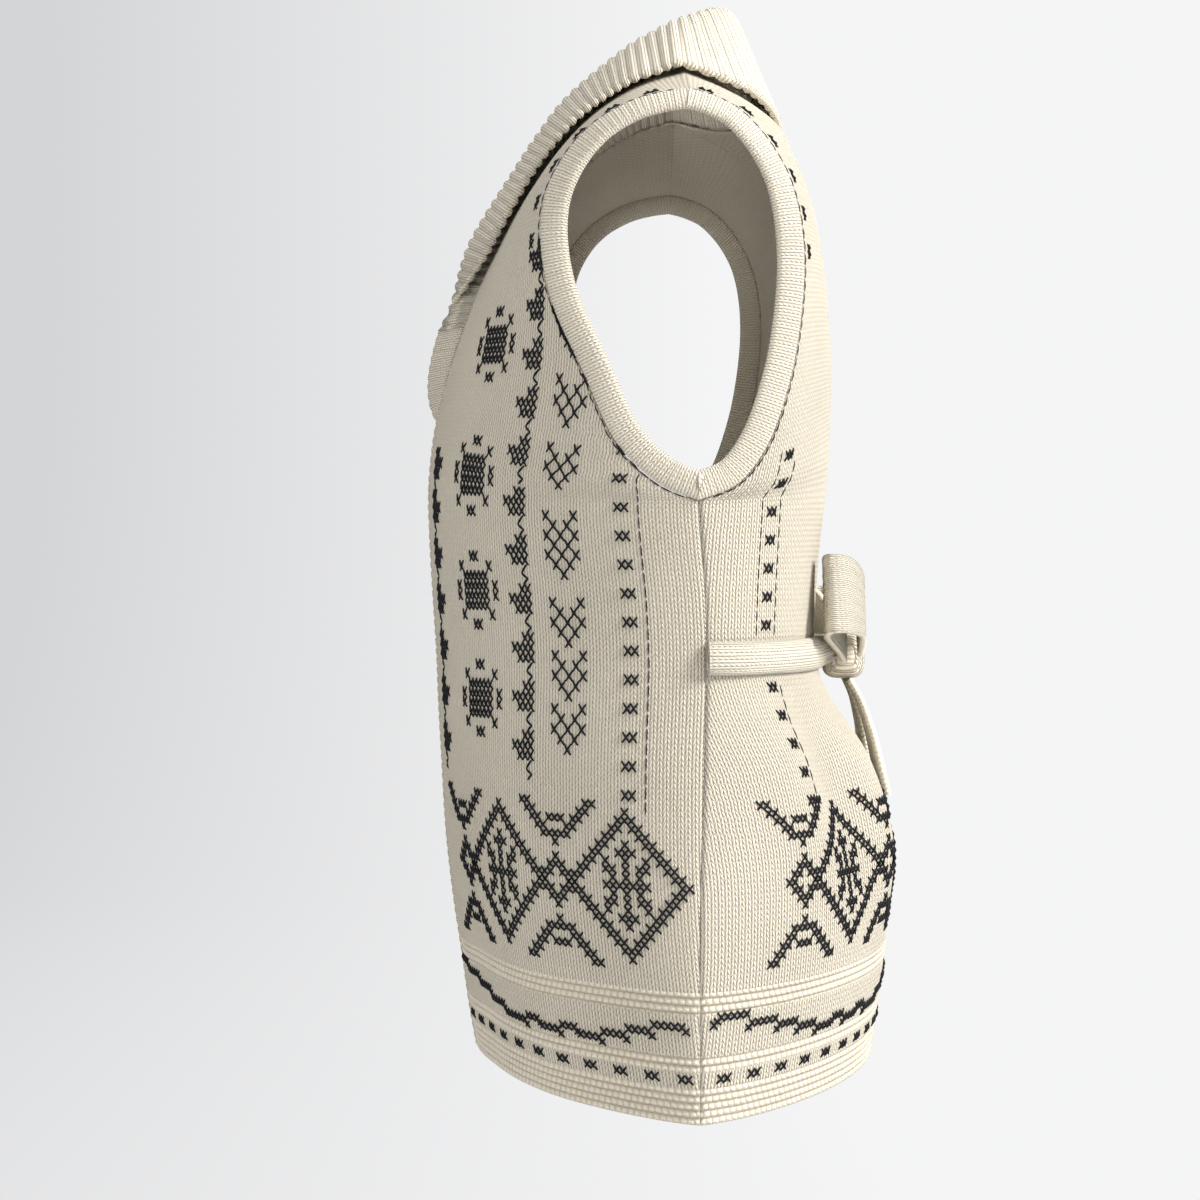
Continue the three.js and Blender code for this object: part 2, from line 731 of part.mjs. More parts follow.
function beltKnot() {
  const ball = new THREE.SphereGeometry(1, 18, 12);
  ball.deleteAttribute('normal');
  ball.deleteAttribute('uv');
  const merged = mergeVertices(ball, 1e-4);
  const position = merged.getAttribute('position');
  const squared = (value) => Math.sign(value) * Math.abs(value) ** KNOT.squareness;
  const points = Array.from({ length: position.count }, (_, i) => new Vector3(
    KNOT.halfX * squared(position.getX(i)),
    KNOT.y + KNOT.halfY * squared(position.getY(i)),
    KNOT.z + KNOT.halfZ * squared(position.getZ(i)),
  ));
  return meshFrom('belt_knot', points, [...merged.getIndex().array], CREAM_RIB);
}

// A flat band that follows a table of stations over the back panel.
function ribbon(name, stations, stationCount, upright) {
  const path = stations.map(({ x, z, out }) => {
    const { point, normal } = clothAt('back', x, z);
    return moved(point, normal.setZ(0).normalize(), out);
  });
  const curve = new THREE.CatmullRomCurve3(path, false, 'centripetal');
  const across = [-0.5, -0.17, 0.17, 0.5];
  const middle = Array.from({ length: stationCount }, (_, i) => {
    const u = i / (stationCount - 1);
    const point = curve.getPoint(u);
    const tangent = curve.getTangent(u);
    const width = along(stations, 'width', u * (stations.length - 1));
    const side = moved(upright, tangent, -upright.dot(tangent)).normalize();
    return across.map((share) => moved(point, side, share * width));
  });
  return thickened(name, middle, RIB_WALL, CREAM_RIB);
}

function bow() {
  const sideways = new Vector3(1, 0, 0);
  return [
    ribbon('bow_loop_left', BOW_LOOP_LEFT, 21, new Vector3(-0.25, 0, 1).normalize()),
    ribbon('bow_loop_right', BOW_LOOP_RIGHT, 21, new Vector3(0.12, 0, 1).normalize()),
    ribbon('belt_tail_left', TAIL_LEFT, 9, sideways),
    ribbon('belt_tail_right', TAIL_RIGHT, 9, sideways),
  ];
}

// ---------------------------------------------------------------- the vest

const vest = new THREE.Group();
vest.add(
  backPanel(),
  ...frontPanels(),
  ...armholeBands(),
  ...frontBands(),
  shawlCollar(),
  ...belts(),
  beltKnot(),
  ...bow(),
);

export default vest;
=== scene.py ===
"""Sleeveless shawl-collar vest in heavy cream knit with black cross-stitch, over its CAD frame.

Lengths in the tables and shape functions are millimetres in the part's own frame (+Z up, +X the
wearer's left, -Y the wearer's front); meshes are written in metres.
"""

import bpy
import numpy as np
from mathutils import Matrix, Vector

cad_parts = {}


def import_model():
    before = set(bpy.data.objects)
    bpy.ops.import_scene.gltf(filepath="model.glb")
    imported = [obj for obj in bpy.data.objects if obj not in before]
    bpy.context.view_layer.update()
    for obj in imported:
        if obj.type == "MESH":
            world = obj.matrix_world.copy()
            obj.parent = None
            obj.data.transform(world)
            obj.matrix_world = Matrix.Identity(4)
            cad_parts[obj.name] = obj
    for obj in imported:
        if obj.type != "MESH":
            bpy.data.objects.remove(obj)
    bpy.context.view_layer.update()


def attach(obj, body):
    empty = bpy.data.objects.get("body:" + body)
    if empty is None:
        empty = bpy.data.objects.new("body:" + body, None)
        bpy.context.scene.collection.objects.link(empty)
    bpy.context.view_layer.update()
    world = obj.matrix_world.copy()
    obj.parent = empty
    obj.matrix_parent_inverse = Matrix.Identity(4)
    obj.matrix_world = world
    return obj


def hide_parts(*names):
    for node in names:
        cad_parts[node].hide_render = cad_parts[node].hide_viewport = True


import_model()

MM = 0.001
SIDES = (("left", 1), ("right", -1))

# ------------------------------------------------------------------ the cloth surface
# The same surface as the part's own: face, row (0 hem, 10 underarm, 21 shoulder) and turn.

WAIST_ROW = 7
UNDERARM_ROW = 10
SHOULDER_ROW = 21
SIDE_SHARPNESS = 0.85
SEAM_GAP = 0.3
NECK_HALF = 78
FRONT_EDGE_X = 30
V_BOTTOM_Z = -225
V_HEIGHT = 257
V_SHAPE = 0.95
BACK_NECK_DEPTH_ROWS = 1.55
BREAK_ROW = 14
BREAK_GAP = 0.02
FRONT_BAND_WIDTH = 28.7
FRONT_BAND_WALL = 5
FRONT_BAND_PROUD = 1.2
PANEL_WALL = 3.0
RIB_WALL = 4.5

# The middle of the front and the back on each row. fullness shapes the curve round to the side
# and droop how the row falls towards it.
CENTRE_COLUMNS = ("frontZ", "frontY", "backZ", "backY", "fullness", "droop")
CENTRE_LINE = np.array([
    (-658, -140, -658, 131, 1.55, 2),
    (-630, -145, -630, 135, 1.5, 2),
    (-595, -150, -595, 140, 1.45, 2),
    (-555, -156, -555, 143, 1.35, 2),
    (-510, -161, -510, 141, 1.25, 2),
    (-460, -164, -460, 125, 1.15, 2),
    (-425, -166, -425, 105, 1.12, 2),
    (-389, -167.5, -389, 92, 1.1, 2),
    (-350, -170, -350, 93.5, 1.1, 2),
    (-315, -172, -315, 96, 1.1, 2),
    (-282, -173, -282, 99.5, 1.15, 2),
    (-258, -171.5, -256, 101.5, 1.3, 2),
    (-233, -168, -228, 102.5, 1.6, 2),
    (-202, -161, -198, 103, 1.85, 2),
    (-168, -149.5, -166, 101.5, 2, 2),
    (-136, -136, -137, 98.5, 2, 2),
    (-104, -119, -109, 94, 2, 2),
    (-76, -101, -83, 88, 2, 2),
    (-48, -82, -57, 79, 2, 1.6),
    (-18, -60, -31, 68, 2, 1.3),
    (12, -32, 3, 34, 2, 1.1),
    (32, 0, 32, 0, 2, 1),
], dtype=float)

# x, y, z of the side seam, rows 0 to 10
SIDE_SEAM = np.array([
    (206, 5, -670), (207, 5, -641), (207, 5, -604), (205, 5, -562), (202, 6, -514),
    (197, 8, -462), (193, 9, -426), (190, 10, -390), (189.5, 9, -353), (191, 7, -321),
    (193, 5, -294),
], dtype=float)

# x, y, z of the armhole edges, rows 10 to 21
ARMHOLE = {
    "front": np.array([
        (193, 5, -294), (190, -20, -283), (184, -46, -257), (176, -66, -213),
        (168, -84, -173), (163, -92, -136), (160, -90, -104), (160, -78, -78),
        (162, -60, -58), (164, -38, -45), (165, -18, -39), (166, 0, -36.5),
    ], dtype=float),
    "back": np.array([
        (193, 5, -294), (190, 30, -283), (185, 49, -257), (178, 62, -219),
        (171, 69, -183), (166, 72, -148), (163, 70, -118), (161, 63, -91),
        (161, 50, -68), (163, 33, -50), (165, 16, -41), (166, 0, -36.5),
    ], dtype=float),
}

# top x, bottom x, top z, bottom z, half width, height
FOLD_WINDOW = 0.8       # how soon a fold rises to its full height
FOLDS = {
    "back": [
        (96, 84, -402, -570, 25, 9),
        (142, 130, -402, -545, 19, -8),
        (174, 176, -405, -520, 13, 3),
        (50, 40, -402, -525, 17, -6),
        (-48, -36, -402, -530, 18, -6),
        (-92, -88, -402, -560, 24, 8),
        (-138, -132, -402, -550, 20, -7),
        (74, 52, -300, -376, 16, -3),
        (-70, -46, -292, -376, 18, -3),
    ],
    "front": [
        (92, 84, -500, -690, 26, -3),
        (148, 156, -470, -690, 24, 3),
        (-86, -92, -490, -690, 28, -3),
        (-150, -146, -480, -690, 24, 3),
    ],
}


def spline(rows, position):
    """Catmull-Rom value of a table (first axis) at fractional rows."""
    rows = np.asarray(rows, dtype=float)
    position = np.asarray(position, dtype=float)
    last = len(rows) - 1
    i = np.clip(np.floor(position).astype(int), 0, last - 1)
    f = position - i
    if rows.ndim > 1:
        f = f.reshape(f.shape + (1,) * (rows.ndim - 1))
    a, b, c, d = (rows[np.clip(i + k, 0, last)] for k in (-1, 0, 1, 2))
    return b + 0.5 * f * (c - a + f * (2 * a - 5 * b + 4 * c - d + f * (3 * (b - c) + d - a)))


def centre(column, row):
    """Value of one column of the centre line at a row."""
    return spline(CENTRE_LINE[:, CENTRE_COLUMNS.index(column)], row)


def row_edge(face, row):
    """End of a row: on the side seam below the underarm, on the armhole above it."""
    row = np.asarray(row, dtype=float)
    side = spline(SIDE_SEAM, np.minimum(row, UNDERARM_ROW))
    armhole = spline(ARMHOLE[face], np.maximum(row - UNDERARM_ROW, 0))
    return np.where((row <= UNDERARM_ROW)[..., None], side, armhole)


def smooth_cloth(face, row, turn):
    """The cloth without its folds; turn is 0 at the centre and 90 degrees at the side."""
    row, turn = np.broadcast_arrays(np.asarray(row, float), np.asarray(turn, float))
    edge = row_edge(face, row)
    angle = np.radians(np.abs(turn))
    across = np.sin(angle) ** SIDE_SHARPNESS
    depth = np.maximum(np.cos(angle), 0) ** centre("fullness", row)
    y = edge[..., 1] + (centre(face + "Y", row) - edge[..., 1]) * depth
    middle_z = centre(face + "Z", row)
    z = middle_z + (edge[..., 2] - middle_z) * across ** centre("droop", row)
    return np.stack([np.sign(turn) * edge[..., 0] * across, y, z], axis=-1)


def unit(vectors):
    return vectors / np.maximum(np.linalg.norm(vectors, axis=-1, keepdims=True), 1e-12)


ROW_STEP = 0.05         # steps to either side for the slope of the cloth
TURN_STEP = 2


def normal_of(surface, face, row, turn):
    """Outward normal, from the slopes along the rows and up the cloth."""
    row, turn = np.broadcast_arrays(np.asarray(row, float), np.asarray(turn, float))
    low, high = np.maximum(row - ROW_STEP, 0), np.minimum(row + ROW_STEP, SHOULDER_ROW)
    left, right = np.maximum(turn - TURN_STEP, -90), np.minimum(turn + TURN_STEP, 90)
    up = surface(face, high, turn) - surface(face, low, turn)
    along = surface(face, row, right) - surface(face, row, left)
    return unit(np.cross(along, up) if face == "front" else np.cross(up, along))


def fold_height(face, x, z):
    height = np.zeros_like(x)
    for top_x, bottom_x, top_z, bottom_z, half_width, amount in FOLDS[face]:
        fraction = (z - top_z) / (bottom_z - top_z)
        window = np.sin(np.pi * np.clip(fraction, 0, 1)) ** FOLD_WINDOW
        distance = x - (top_x + (bottom_x - top_x) * fraction)
        height += amount * window * np.exp(-((distance / half_width) ** 2))
    return height


def cloth(face, row, turn):
    """Outer face of the cloth, folds included."""
    point = smooth_cloth(face, row, turn)
    height = fold_height(face, point[..., 0], point[..., 2])
    point = point + normal_of(smooth_cloth, face, row, turn) * height[..., None]
    point[..., 1] += (-0.5 if face == "front" else 0.5) * SEAM_GAP
    return point


def cloth_normal(face, row, turn):
    return normal_of(cloth, face, row, turn)


def turn_at_x(face, row, x):
    across = np.clip(np.abs(x) / row_edge(face, row)[..., 0], 0, 1)
    return np.sign(x) * np.degrees(np.arcsin(across ** (1 / SIDE_SHARPNESS)))


def front_edge_x(row):
    rise = (centre("frontZ", row) - V_BOTTOM_Z) / V_HEIGHT
    return FRONT_EDGE_X + (NECK_HALF - FRONT_EDGE_X) * np.maximum(rise, 0) ** V_SHAPE


def cloth_at(face, x, z):
    """Point and normal of the cloth at a given x and z."""
    low, high = 0.0, float(SHOULDER_ROW)
    for _ in range(30):
        middle = (low + high) / 2
        if smooth_cloth(face, middle, turn_at_x(face, middle, x))[2] < z:
            low = middle
        else:
            high = middle
    turn = turn_at_x(face, low, x)
    return cloth(face, low, turn), cloth_normal(face, low, turn)


# ------------------------------------------------------------------ knit coordinates
# u is the length along a row from the centre line, v the length up the cloth from the hem.

TABLE_ROWS = np.linspace(0, SHOULDER_ROW, 421)
TABLE_TURNS = np.linspace(0, 90, 181)
WALE = 4.4      # width of one stitch
COURSE = 3.35   # height of one stitch


def lengths(points):
    """Length from the first point to each point of a line."""
    steps = np.linalg.norm(np.diff(points, axis=0), axis=-1)
    return np.concatenate([[0], np.cumsum(steps)])


def length_tables():
    """Lengths u at every table row and turn of each face, and lengths v at the table rows."""
    tables = {}
    for face in ("front", "back"):
        points = smooth_cloth(face, TABLE_ROWS[:, None], TABLE_TURNS[None, :])
        tables[face] = np.array([lengths(row) for row in points])
    return tables, lengths(smooth_cloth("front", TABLE_ROWS, 45.0))


U_TABLE, V_TABLE = length_tables()


def row_at_v(v):
    return np.interp(v, V_TABLE, TABLE_ROWS)


def v_at_row(row):
    return float(np.interp(row, TABLE_ROWS, V_TABLE))


def table_row(row):
    """Index of the nearest table row."""
    last = len(TABLE_ROWS) - 1
    return np.clip(np.round(np.asarray(row) / SHOULDER_ROW * last).astype(int), 0, last)


def turn_at_u(face, row, u):
    """Turn at a length u along a row, for arrays of rows and lengths."""
    row, u = np.broadcast_arrays(np.atleast_1d(row).astype(float), np.atleast_1d(u).astype(float))
    flat = [np.interp(abs(length), U_TABLE[face][i], TABLE_TURNS) * (1 if length >= 0 else -1)
            for length, i in zip(u.ravel(), table_row(row).ravel())]
    return np.array(flat).reshape(u.shape)


# ------------------------------------------------------------------ meshes

def add_mesh(name, points, faces, material, uv=None, garter=None):
    """Smooth mesh object from points in millimetres; uv and garter give a value to each point."""
    mesh = bpy.data.meshes.new(name)
    mesh.from_pydata((points * MM).tolist(), [], faces)
    mesh.validate()
    if uv is not None:
        loops = np.empty(len(mesh.loops), dtype=np.int32)
        mesh.loops.foreach_get("vertex_index", loops)
        layer = mesh.uv_layers.new(name="knit")
        layer.data.foreach_set("uv", uv.astype(np.float32)[loops].ravel())
    if garter is not None:
        attribute = mesh.attributes.new("garter", "FLOAT", "POINT")
        attribute.data.foreach_set("value", garter.astype(np.float32))
    mesh.polygons.foreach_set("use_smooth", [True] * len(mesh.polygons))
    mesh.materials.append(material)
    thing = bpy.data.objects.new(name, mesh)
    bpy.context.scene.collection.objects.link(thing)
    return thing


def signed_volume(points, faces):
    """Six times the volume inside four-sided faces, below zero when they face inwards."""
    a, b, c, d = (points[faces[:, k]] for k in range(4))
    first = np.einsum("ij,ij->i", a, np.cross(b, c))
    second = np.einsum("ij,ij->i", a, np.cross(c, d))
    return (first + second).sum()


def wall_mesh(name, outer, inner, uv, material, garter=None):
    """A wall between two grids of points, closed by a rim round its four sides."""
    rows, columns = outer.shape[:2]
    index = np.arange(rows * columns).reshape(rows, columns)
    back = index + rows * columns

    def strip(near, far):
        return np.stack([near[:-1], near[1:], far[1:], far[:-1]], axis=-1)

    def cells(grid):
        corners = [grid[:-1, :-1], grid[:-1, 1:], grid[1:, 1:], grid[1:, :-1]]
        return np.stack(corners, axis=-1).reshape(-1, 4)

    faces = np.concatenate([
        cells(index),
        cells(back.T),
        strip(index[:, 0], back[:, 0]),
        strip(back[:, -1], index[:, -1]),
        strip(back[0], index[0]),
        strip(index[-1], back[-1]),
    ])
    points = np.concatenate([outer.reshape(-1, 3), inner.reshape(-1, 3)])
    if signed_volume(points, faces) < 0:
        faces = faces[:, ::-1]
    both_uv = np.concatenate([uv.reshape(-1, 2)] * 2)
    both_garter = None if garter is None else np.concatenate([garter.ravel()] * 2)
    return add_mesh(name, points, faces.tolist(), material, both_uv, both_garter)


def sweep_mesh(name, sections, closed, uv, material):
    """A closed section carried along stations; open sweeps are capped with a fan."""
    stations, sides = sections.shape[:2]
    index = np.arange(stations * sides).reshape(stations, sides)
    following = np.roll(index, -1, axis=0) if closed else index[1:]
    here = index if closed else index[:-1]
    turned = np.roll(here, -1, axis=1)
    turned_next = np.roll(following, -1, axis=1)
    faces = np.stack([here, turned, turned_next, following], axis=-1).reshape(-1, 4)
    points = sections.reshape(-1, 3)
    uv = uv.reshape(-1, 2)
    if signed_volume(points, faces) < 0:
        faces = faces[:, ::-1]
    faces = faces.tolist()
    if not closed:
        faces.append(index[0].tolist())
        faces.append(index[-1][::-1].tolist())
    return add_mesh(name, points, faces, material, uv)


def grid_normals(grid):
    return unit(np.cross(np.gradient(grid, axis=1), np.gradient(grid, axis=0)))


def resample(grid, rows, columns):
    """Catmull-Rom refinement of a grid, even in length along its first axis."""
    middle = grid[:, grid.shape[1] // 2]
    stations = np.interp(np.linspace(0, 1, rows) * lengths(middle)[-1], lengths(middle),
                         np.arange(len(grid)))
    refined = spline(grid, stations)
    across = np.linspace(0, grid.shape[1] - 1, columns)
    return np.swapaxes(spline(np.swapaxes(refined, 0, 1), across), 0, 1)


def on_side(points, sign):
    """Points of the left side as they are (sign 1) or mirrored to the right side (sign -1)."""
    return points * np.array([sign, 1.0, 1.0])


# ------------------------------------------------------------------ materials

class Nodes:
    """Short calls that add nodes to one node tree and link them."""

    def __init__(self, tree):
        self.tree = tree

    def link(self, value, socket):
        """Set a socket to a constant, or link an output to it."""
        if isinstance(value, (int, float, tuple)):
            socket.default_value = value
        else:
            self.tree.links.new(value, socket)

    def node(self, kind, **settings):
        node = self.tree.nodes.new(kind)
        for key, value in settings.items():
            setattr(node, key, value)
        return node

    def __call__(self, operation, first, second=None):
        node = self.node("ShaderNodeMath", operation=operation)
        self.link(first, node.inputs[0])
        if second is not None:
            self.link(second, node.inputs[1])
        return node.outputs[0]

    def mix(self, share, first, second):
        return self("ADD", self("MULTIPLY", first, self("SUBTRACT", 1.0, share)),
                    self("MULTIPLY", second, share))

    def noise(self, place, scale, detail):
        node = self.node("ShaderNodeTexNoise", noise_dimensions="3D")
        node.inputs["Scale"].default_value = scale
        node.inputs["Detail"].default_value = detail
        self.link(place, node.inputs["Vector"])
        return node

    def ramp(self, value, *stops):
        """Colour ramp between two stops of position and colour."""
        node = self.node("ShaderNodeValToRGB")
        for element, (position, colour) in zip(node.color_ramp.elements, stops):
            element.position = position
            element.color = (*colour, 1)
        self.link(value, node.inputs[0])
        return node.outputs[0]

    def bump(self, height, strength, distance):
        node = self.node("ShaderNodeBump")
        node.inputs["Strength"].default_value = strength
        node.inputs["Distance"].default_value = distance
        self.link(height, node.inputs["Height"])
        return node.outputs[0]

    def seen(self):
        """1 for rays that come from the camera, a reflection or a clear material, else 0."""
        rays = self.node("ShaderNodeLightPath").outputs
        reflected = self("MAXIMUM", rays["Is Glossy Ray"], rays["Is Transmission Ray"])
        return self("MAXIMUM", rays["Is Camera Ray"], reflected)


def new_material(name, **constants):
    """Principled material; constants are socket names with _ for the spaces in them."""
    material = bpy.data.materials.new(name)
    material.use_nodes = True
    shader = material.node_tree.nodes["Principled BSDF"]
    for key, value in constants.items():
        shader.inputs[key.replace("_", " ")].default_value = value
    return material, Nodes(material.node_tree), shader


def yarn_height(m, u, v):
    """Height of a stocking stitch: two legs that lean together in a V, one V to a stitch."""
    side = m("ABSOLUTE", m("SUBTRACT", m("FRACT", u), 0.5))
    from_leg = m("ABSOLUTE", m("MULTIPLY", m("SUBTRACT", side, 0.25), 4.0))
    leg = m("MAXIMUM", m("SUBTRACT", 1.0, m("POWER", from_leg, 2.0)), 0.0)
    leaning = m("FRACT", m("SUBTRACT", v, m("MULTIPLY", side, 1.5)))
    strand = m("SINE", m("MULTIPLY", leaning, np.pi))
    return m("MULTIPLY", m("POWER", leg, 0.6), m("ADD", 0.45, m("MULTIPLY", strand, 0.55)))


def purl_height(m, u, v):
    """Height of garter stitch: rows of small bumps, each row half a stitch aside."""
    course = m("MULTIPLY", v, 0.75)
    shifted = m("ADD", u, m("MULTIPLY", m("FLOOR", course), 0.5))
    bump = m("ABSOLUTE", m("SINE", m("MULTIPLY", shifted, np.pi)))
    ridge = m("SINE", m("MULTIPLY", m("FRACT", course), np.pi))
    return m("MULTIPLY", m("ADD", 0.35, m("MULTIPLY", bump, 0.65)), ridge)


def unevenly_knit(m):
    """The knit coordinates, moved a little to and fro so that no two stitches are alike."""
    plain = m.node("ShaderNodeUVMap", uv_map="knit").outputs[0]
    wobble = m.noise(plain, 0.55, 2.0)
    shift = m.node("ShaderNodeVectorMath", operation="MULTIPLY_ADD")
    m.link(wobble.outputs["Color"], shift.inputs[0])
    m.link((0.16, 0.16, 0.0), shift.inputs[1])
    m.link(plain, shift.inputs[2])
    split = m.node("ShaderNodeSeparateXYZ")
    m.link(shift.outputs[0], split.inputs[0])
    return split.outputs["X"], split.outputs["Y"]


def knit_material(name, light, gap_shade, relief, has_garter=False):
    """Woollen knit: stitches in bump and in painted shade that darkens the gaps between the yarn legs,
    fine fuzz and soft clouds of tone.
    """
    material, m, shader = new_material(
        name, Specular_IOR_Level=0.2, Sheen_Weight=0.25, Sheen_Roughness=0.45,
        Sheen_Tint=(1.0, 0.97, 0.9, 1))
    u, v = unevenly_knit(m)
    height = yarn_height(m, u, v)
    if has_garter:
        zone = m.node("ShaderNodeAttribute", attribute_name="garter")
        height = m.mix(zone.outputs["Fac"], height, purl_height(m, u, v))
    place = m.node("ShaderNodeTexCoord").outputs["Object"]
    fuzz = m.noise(place, 900.0, 5.0).outputs["Fac"]
    clouds = m.noise(place, 14.0, 3.0).outputs["Fac"]
    # painted shade: the colour goes dark where the stitch height is low, in the gaps between legs and
    # courses; the clouds are random tone
    tone = m("ADD", m("MULTIPLY", height, 0.85), m("MULTIPLY", fuzz, 0.25))
    tone = m("ADD", tone, m("MULTIPLY", m("SUBTRACT", clouds, 0.5), 0.35))
    m.link(m.ramp(tone, (0.05, gap_shade), (0.66, light)), shader.inputs["Base Color"])
    bumps = m("ADD", height, m("MULTIPLY", fuzz, 0.25))
    m.link(m.bump(bumps, 1.0, relief * MM), shader.inputs["Normal"])
    m.link(m("ADD", 0.86, m("MULTIPLY", fuzz, 0.1)), shader.inputs["Roughness"])
    return material


def black_yarn():
    material, m, shader = new_material("black_yarn", Roughness=0.8, Specular_IOR_Level=0.2)
    place = m.node("ShaderNodeTexCoord").outputs["Object"]
    twist = m.noise(place, 1400.0, 4.0).outputs["Fac"]
    shades = m.ramp(twist, (0.0, (0.003, 0.003, 0.004)), (1.0, (0.022, 0.022, 0.026)))
    m.link(shades, shader.inputs["Base Color"])
    m.link(m.bump(twist, 0.6, 0.3 * MM), shader.inputs["Normal"])
    return material


# the second colour of each knit is the painted shade of the gaps between its stitches
STOCKING = knit_material("cream_stocking_knit", (0.87, 0.80, 0.66), (0.42, 0.345, 0.23), 2.0, True)
RIBBED = knit_material("cream_rib_knit", (0.88, 0.815, 0.68), (0.50, 0.42, 0.295), 1.5)
BLACK = black_yarn()


def place_piece(piece, slot, *nodes):
    """Attach a piece to the root body and hide its CAD nodes; the slot is not used."""
    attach(piece, "root")
    if nodes:
        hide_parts(*nodes)


# ------------------------------------------------------------------ panels

# v from, v to: bands of garter ridges above the hem
GARTER_BANDS = ((0, 22), (31, 41), (65, 79))
GARTER_FADE = 1.2
GARTER_PITCH = 4.45
GARTER_RELIEF = 0.55
GARTER_TOP = 84
CLOSE_ROWS, WIDE_ROWS = 1.1, 3.6    # spacing of the mesh rows in the garter bands and above
FRONT_CELLS = 76
BACK_NECK_CELLS, BACK_SIDE_CELLS = 26, 44


def garter_zone(v):
    """1 in the garter bands and 0 outside them."""
    inside = [np.clip((v - low) / GARTER_FADE, 0, 1) * np.clip((high - v) / GARTER_FADE, 0, 1)
              for low, high in GARTER_BANDS]
    return np.clip(sum(inside), 0, 1)


def panel_rows():
    """Rows for the fine panels, and their lengths up the cloth."""
    top = V_TABLE[-1]
    v = np.concatenate([np.arange(0, GARTER_TOP, CLOSE_ROWS),
                        np.arange(GARTER_TOP, top - 1, WIDE_ROWS), [top]])
    return row_at_v(v), v


def even_turns(face, row, start, cells):
    """Turns from start to the side edge, even in length."""
    table = U_TABLE[face][table_row(row)]
    begin = np.interp(start, TABLE_TURNS, table)
    return np.interp(np.linspace(begin, table[-1], cells + 1), table, TABLE_TURNS)


# lean outwards, from z, to z: how the armhole bands turn out from the shoulder line
BAND_LEAN = ((0.3, -290, -205), (0.62, -150, -36))
RING_STATIONS = 120
EDGE_TURN = 86          # beyond it the panels turn to meet the bands and the side seams


def ease(value, low, high):
    share = np.clip((value - low) / (high - low), 0, 1)
    return share * share * (3 - 2 * share)


def edge_frames():
    """The ring of the left armhole with its across and out directions, up the front first."""
    rows = np.linspace(UNDERARM_ROW, SHOULDER_ROW, RING_STATIONS)
    front = row_edge("front", rows)
    back = row_edge("back", rows[::-1])
    ring = np.concatenate([front, back[1:-1]])
    tangent = np.roll(ring, -1, axis=0) - np.roll(ring, 1, axis=0)
    inward = unit(np.stack([np.zeros(len(ring)), tangent[:, 2], -tangent[:, 1]], axis=-1))
    inward[:, 0] = sum(lean * ease(ring[:, 2], low, high) for lean, low, high in BAND_LEAN)
    across = unit(inward)
    normal = unit(np.cross(across, tangent))
    return rows, ring, across, normal


RING_ROWS, RING, RING_ACROSS, RING_NORMAL = edge_frames()


def blend_edge_normals(face, rows, turns, normals):
    """Turn the last few millimetres of a panel to meet the armhole band and the side seam."""
    if face == "front":
        source = RING_NORMAL[:RING_STATIONS]
    else:
        source = np.concatenate([RING_NORMAL[:1], RING_NORMAL[:RING_STATIONS - 2:-1]])
    target = np.stack([np.interp(rows, RING_ROWS, source[:, k]) for k in range(3)], axis=-1)
    target[rows < UNDERARM_ROW] = (1.0, 0.0, 0.0)
    near = np.clip((np.abs(turns) - EDGE_TURN) / (90 - EDGE_TURN), 0, 1)[..., None]
    signed = np.broadcast_to(target[:, None, :], normals.shape).copy()
    signed[..., 0] *= np.where(turns < 0, -1.0, 1.0)
    return unit(normals * (1 - near) + signed * near)


def panel(name, face, rows, turns, v, node):
    """One knitted panel from grids of rows and turns, with garter ridges near the hem."""
    outer = cloth(face, rows, turns)
    normals = blend_edge_normals(face, rows[:, 0], turns, cloth_normal(face, rows, turns))
    zone = garter_zone(v)
    ridge = GARTER_RELIEF * np.sin(2 * np.pi * v / GARTER_PITCH) * zone
    outer = outer + normals * ridge[:, None, None]
    inner = outer - normals * PANEL_WALL
    u = np.array([np.interp(np.abs(turn), TABLE_TURNS, U_TABLE[face][table_row(row)])
                  for row, turn in zip(rows[:, 0], turns)])
    up = np.broadcast_to(v[:, None], u.shape)
    uv = np.stack([np.sign(turns) * u / WALE, up / COURSE], axis=-1)
    piece = wall_mesh(name, outer, inner, uv, STOCKING, np.broadcast_to(zone[:, None], u.shape))
    place_piece(piece, "stocking_knit", node)


def front_panels():
    rows, v = panel_rows()
    starts = turn_at_x("front", rows, front_edge_x(rows))
    turns = np.array([even_turns("front", *each, FRONT_CELLS) for each in zip(rows, starts)])
    grid_rows = np.broadcast_to(rows[:, None], turns.shape)
    for side, sign in SIDES:
        panel(f"front_{side}_knit", "front", grid_rows, sign * turns, v, f"front_{side}")


NECK_TURN = float(turn_at_x("back", float(SHOULDER_ROW), float(NECK_HALF)))
BACK_NECK_FROM_ROW = 16


def back_top_row(turn):
    """Top row of the back: it dips in a curve between the high shoulder points."""
    across = np.sin(np.radians(np.abs(turn))) ** SIDE_SHARPNESS
    x = row_edge("back", float(SHOULDER_ROW))[0] * across
    return SHOULDER_ROW - BACK_NECK_DEPTH_ROWS * np.sqrt(1 - np.minimum(x / NECK_HALF, 1) ** 2)


def back_panel():
    rows, v = panel_rows()
    neck = np.linspace(0, NECK_TURN, BACK_NECK_CELLS, endpoint=False)
    halves = np.array([np.concatenate([neck, even_turns("back", row, NECK_TURN, BACK_SIDE_CELLS)])
                       for row in rows])
    turns = np.concatenate([-halves[:, :0:-1], halves], axis=1)
    share = np.maximum(rows - BACK_NECK_FROM_ROW, 0) / (SHOULDER_ROW - BACK_NECK_FROM_ROW)
    grid_rows = rows[:, None] - share[:, None] * (SHOULDER_ROW - back_top_row(turns))
    panel("back_knit", "back", grid_rows, turns, v, "back_panel")


front_panels()
back_panel()


# ------------------------------------------------------------------ armhole bands

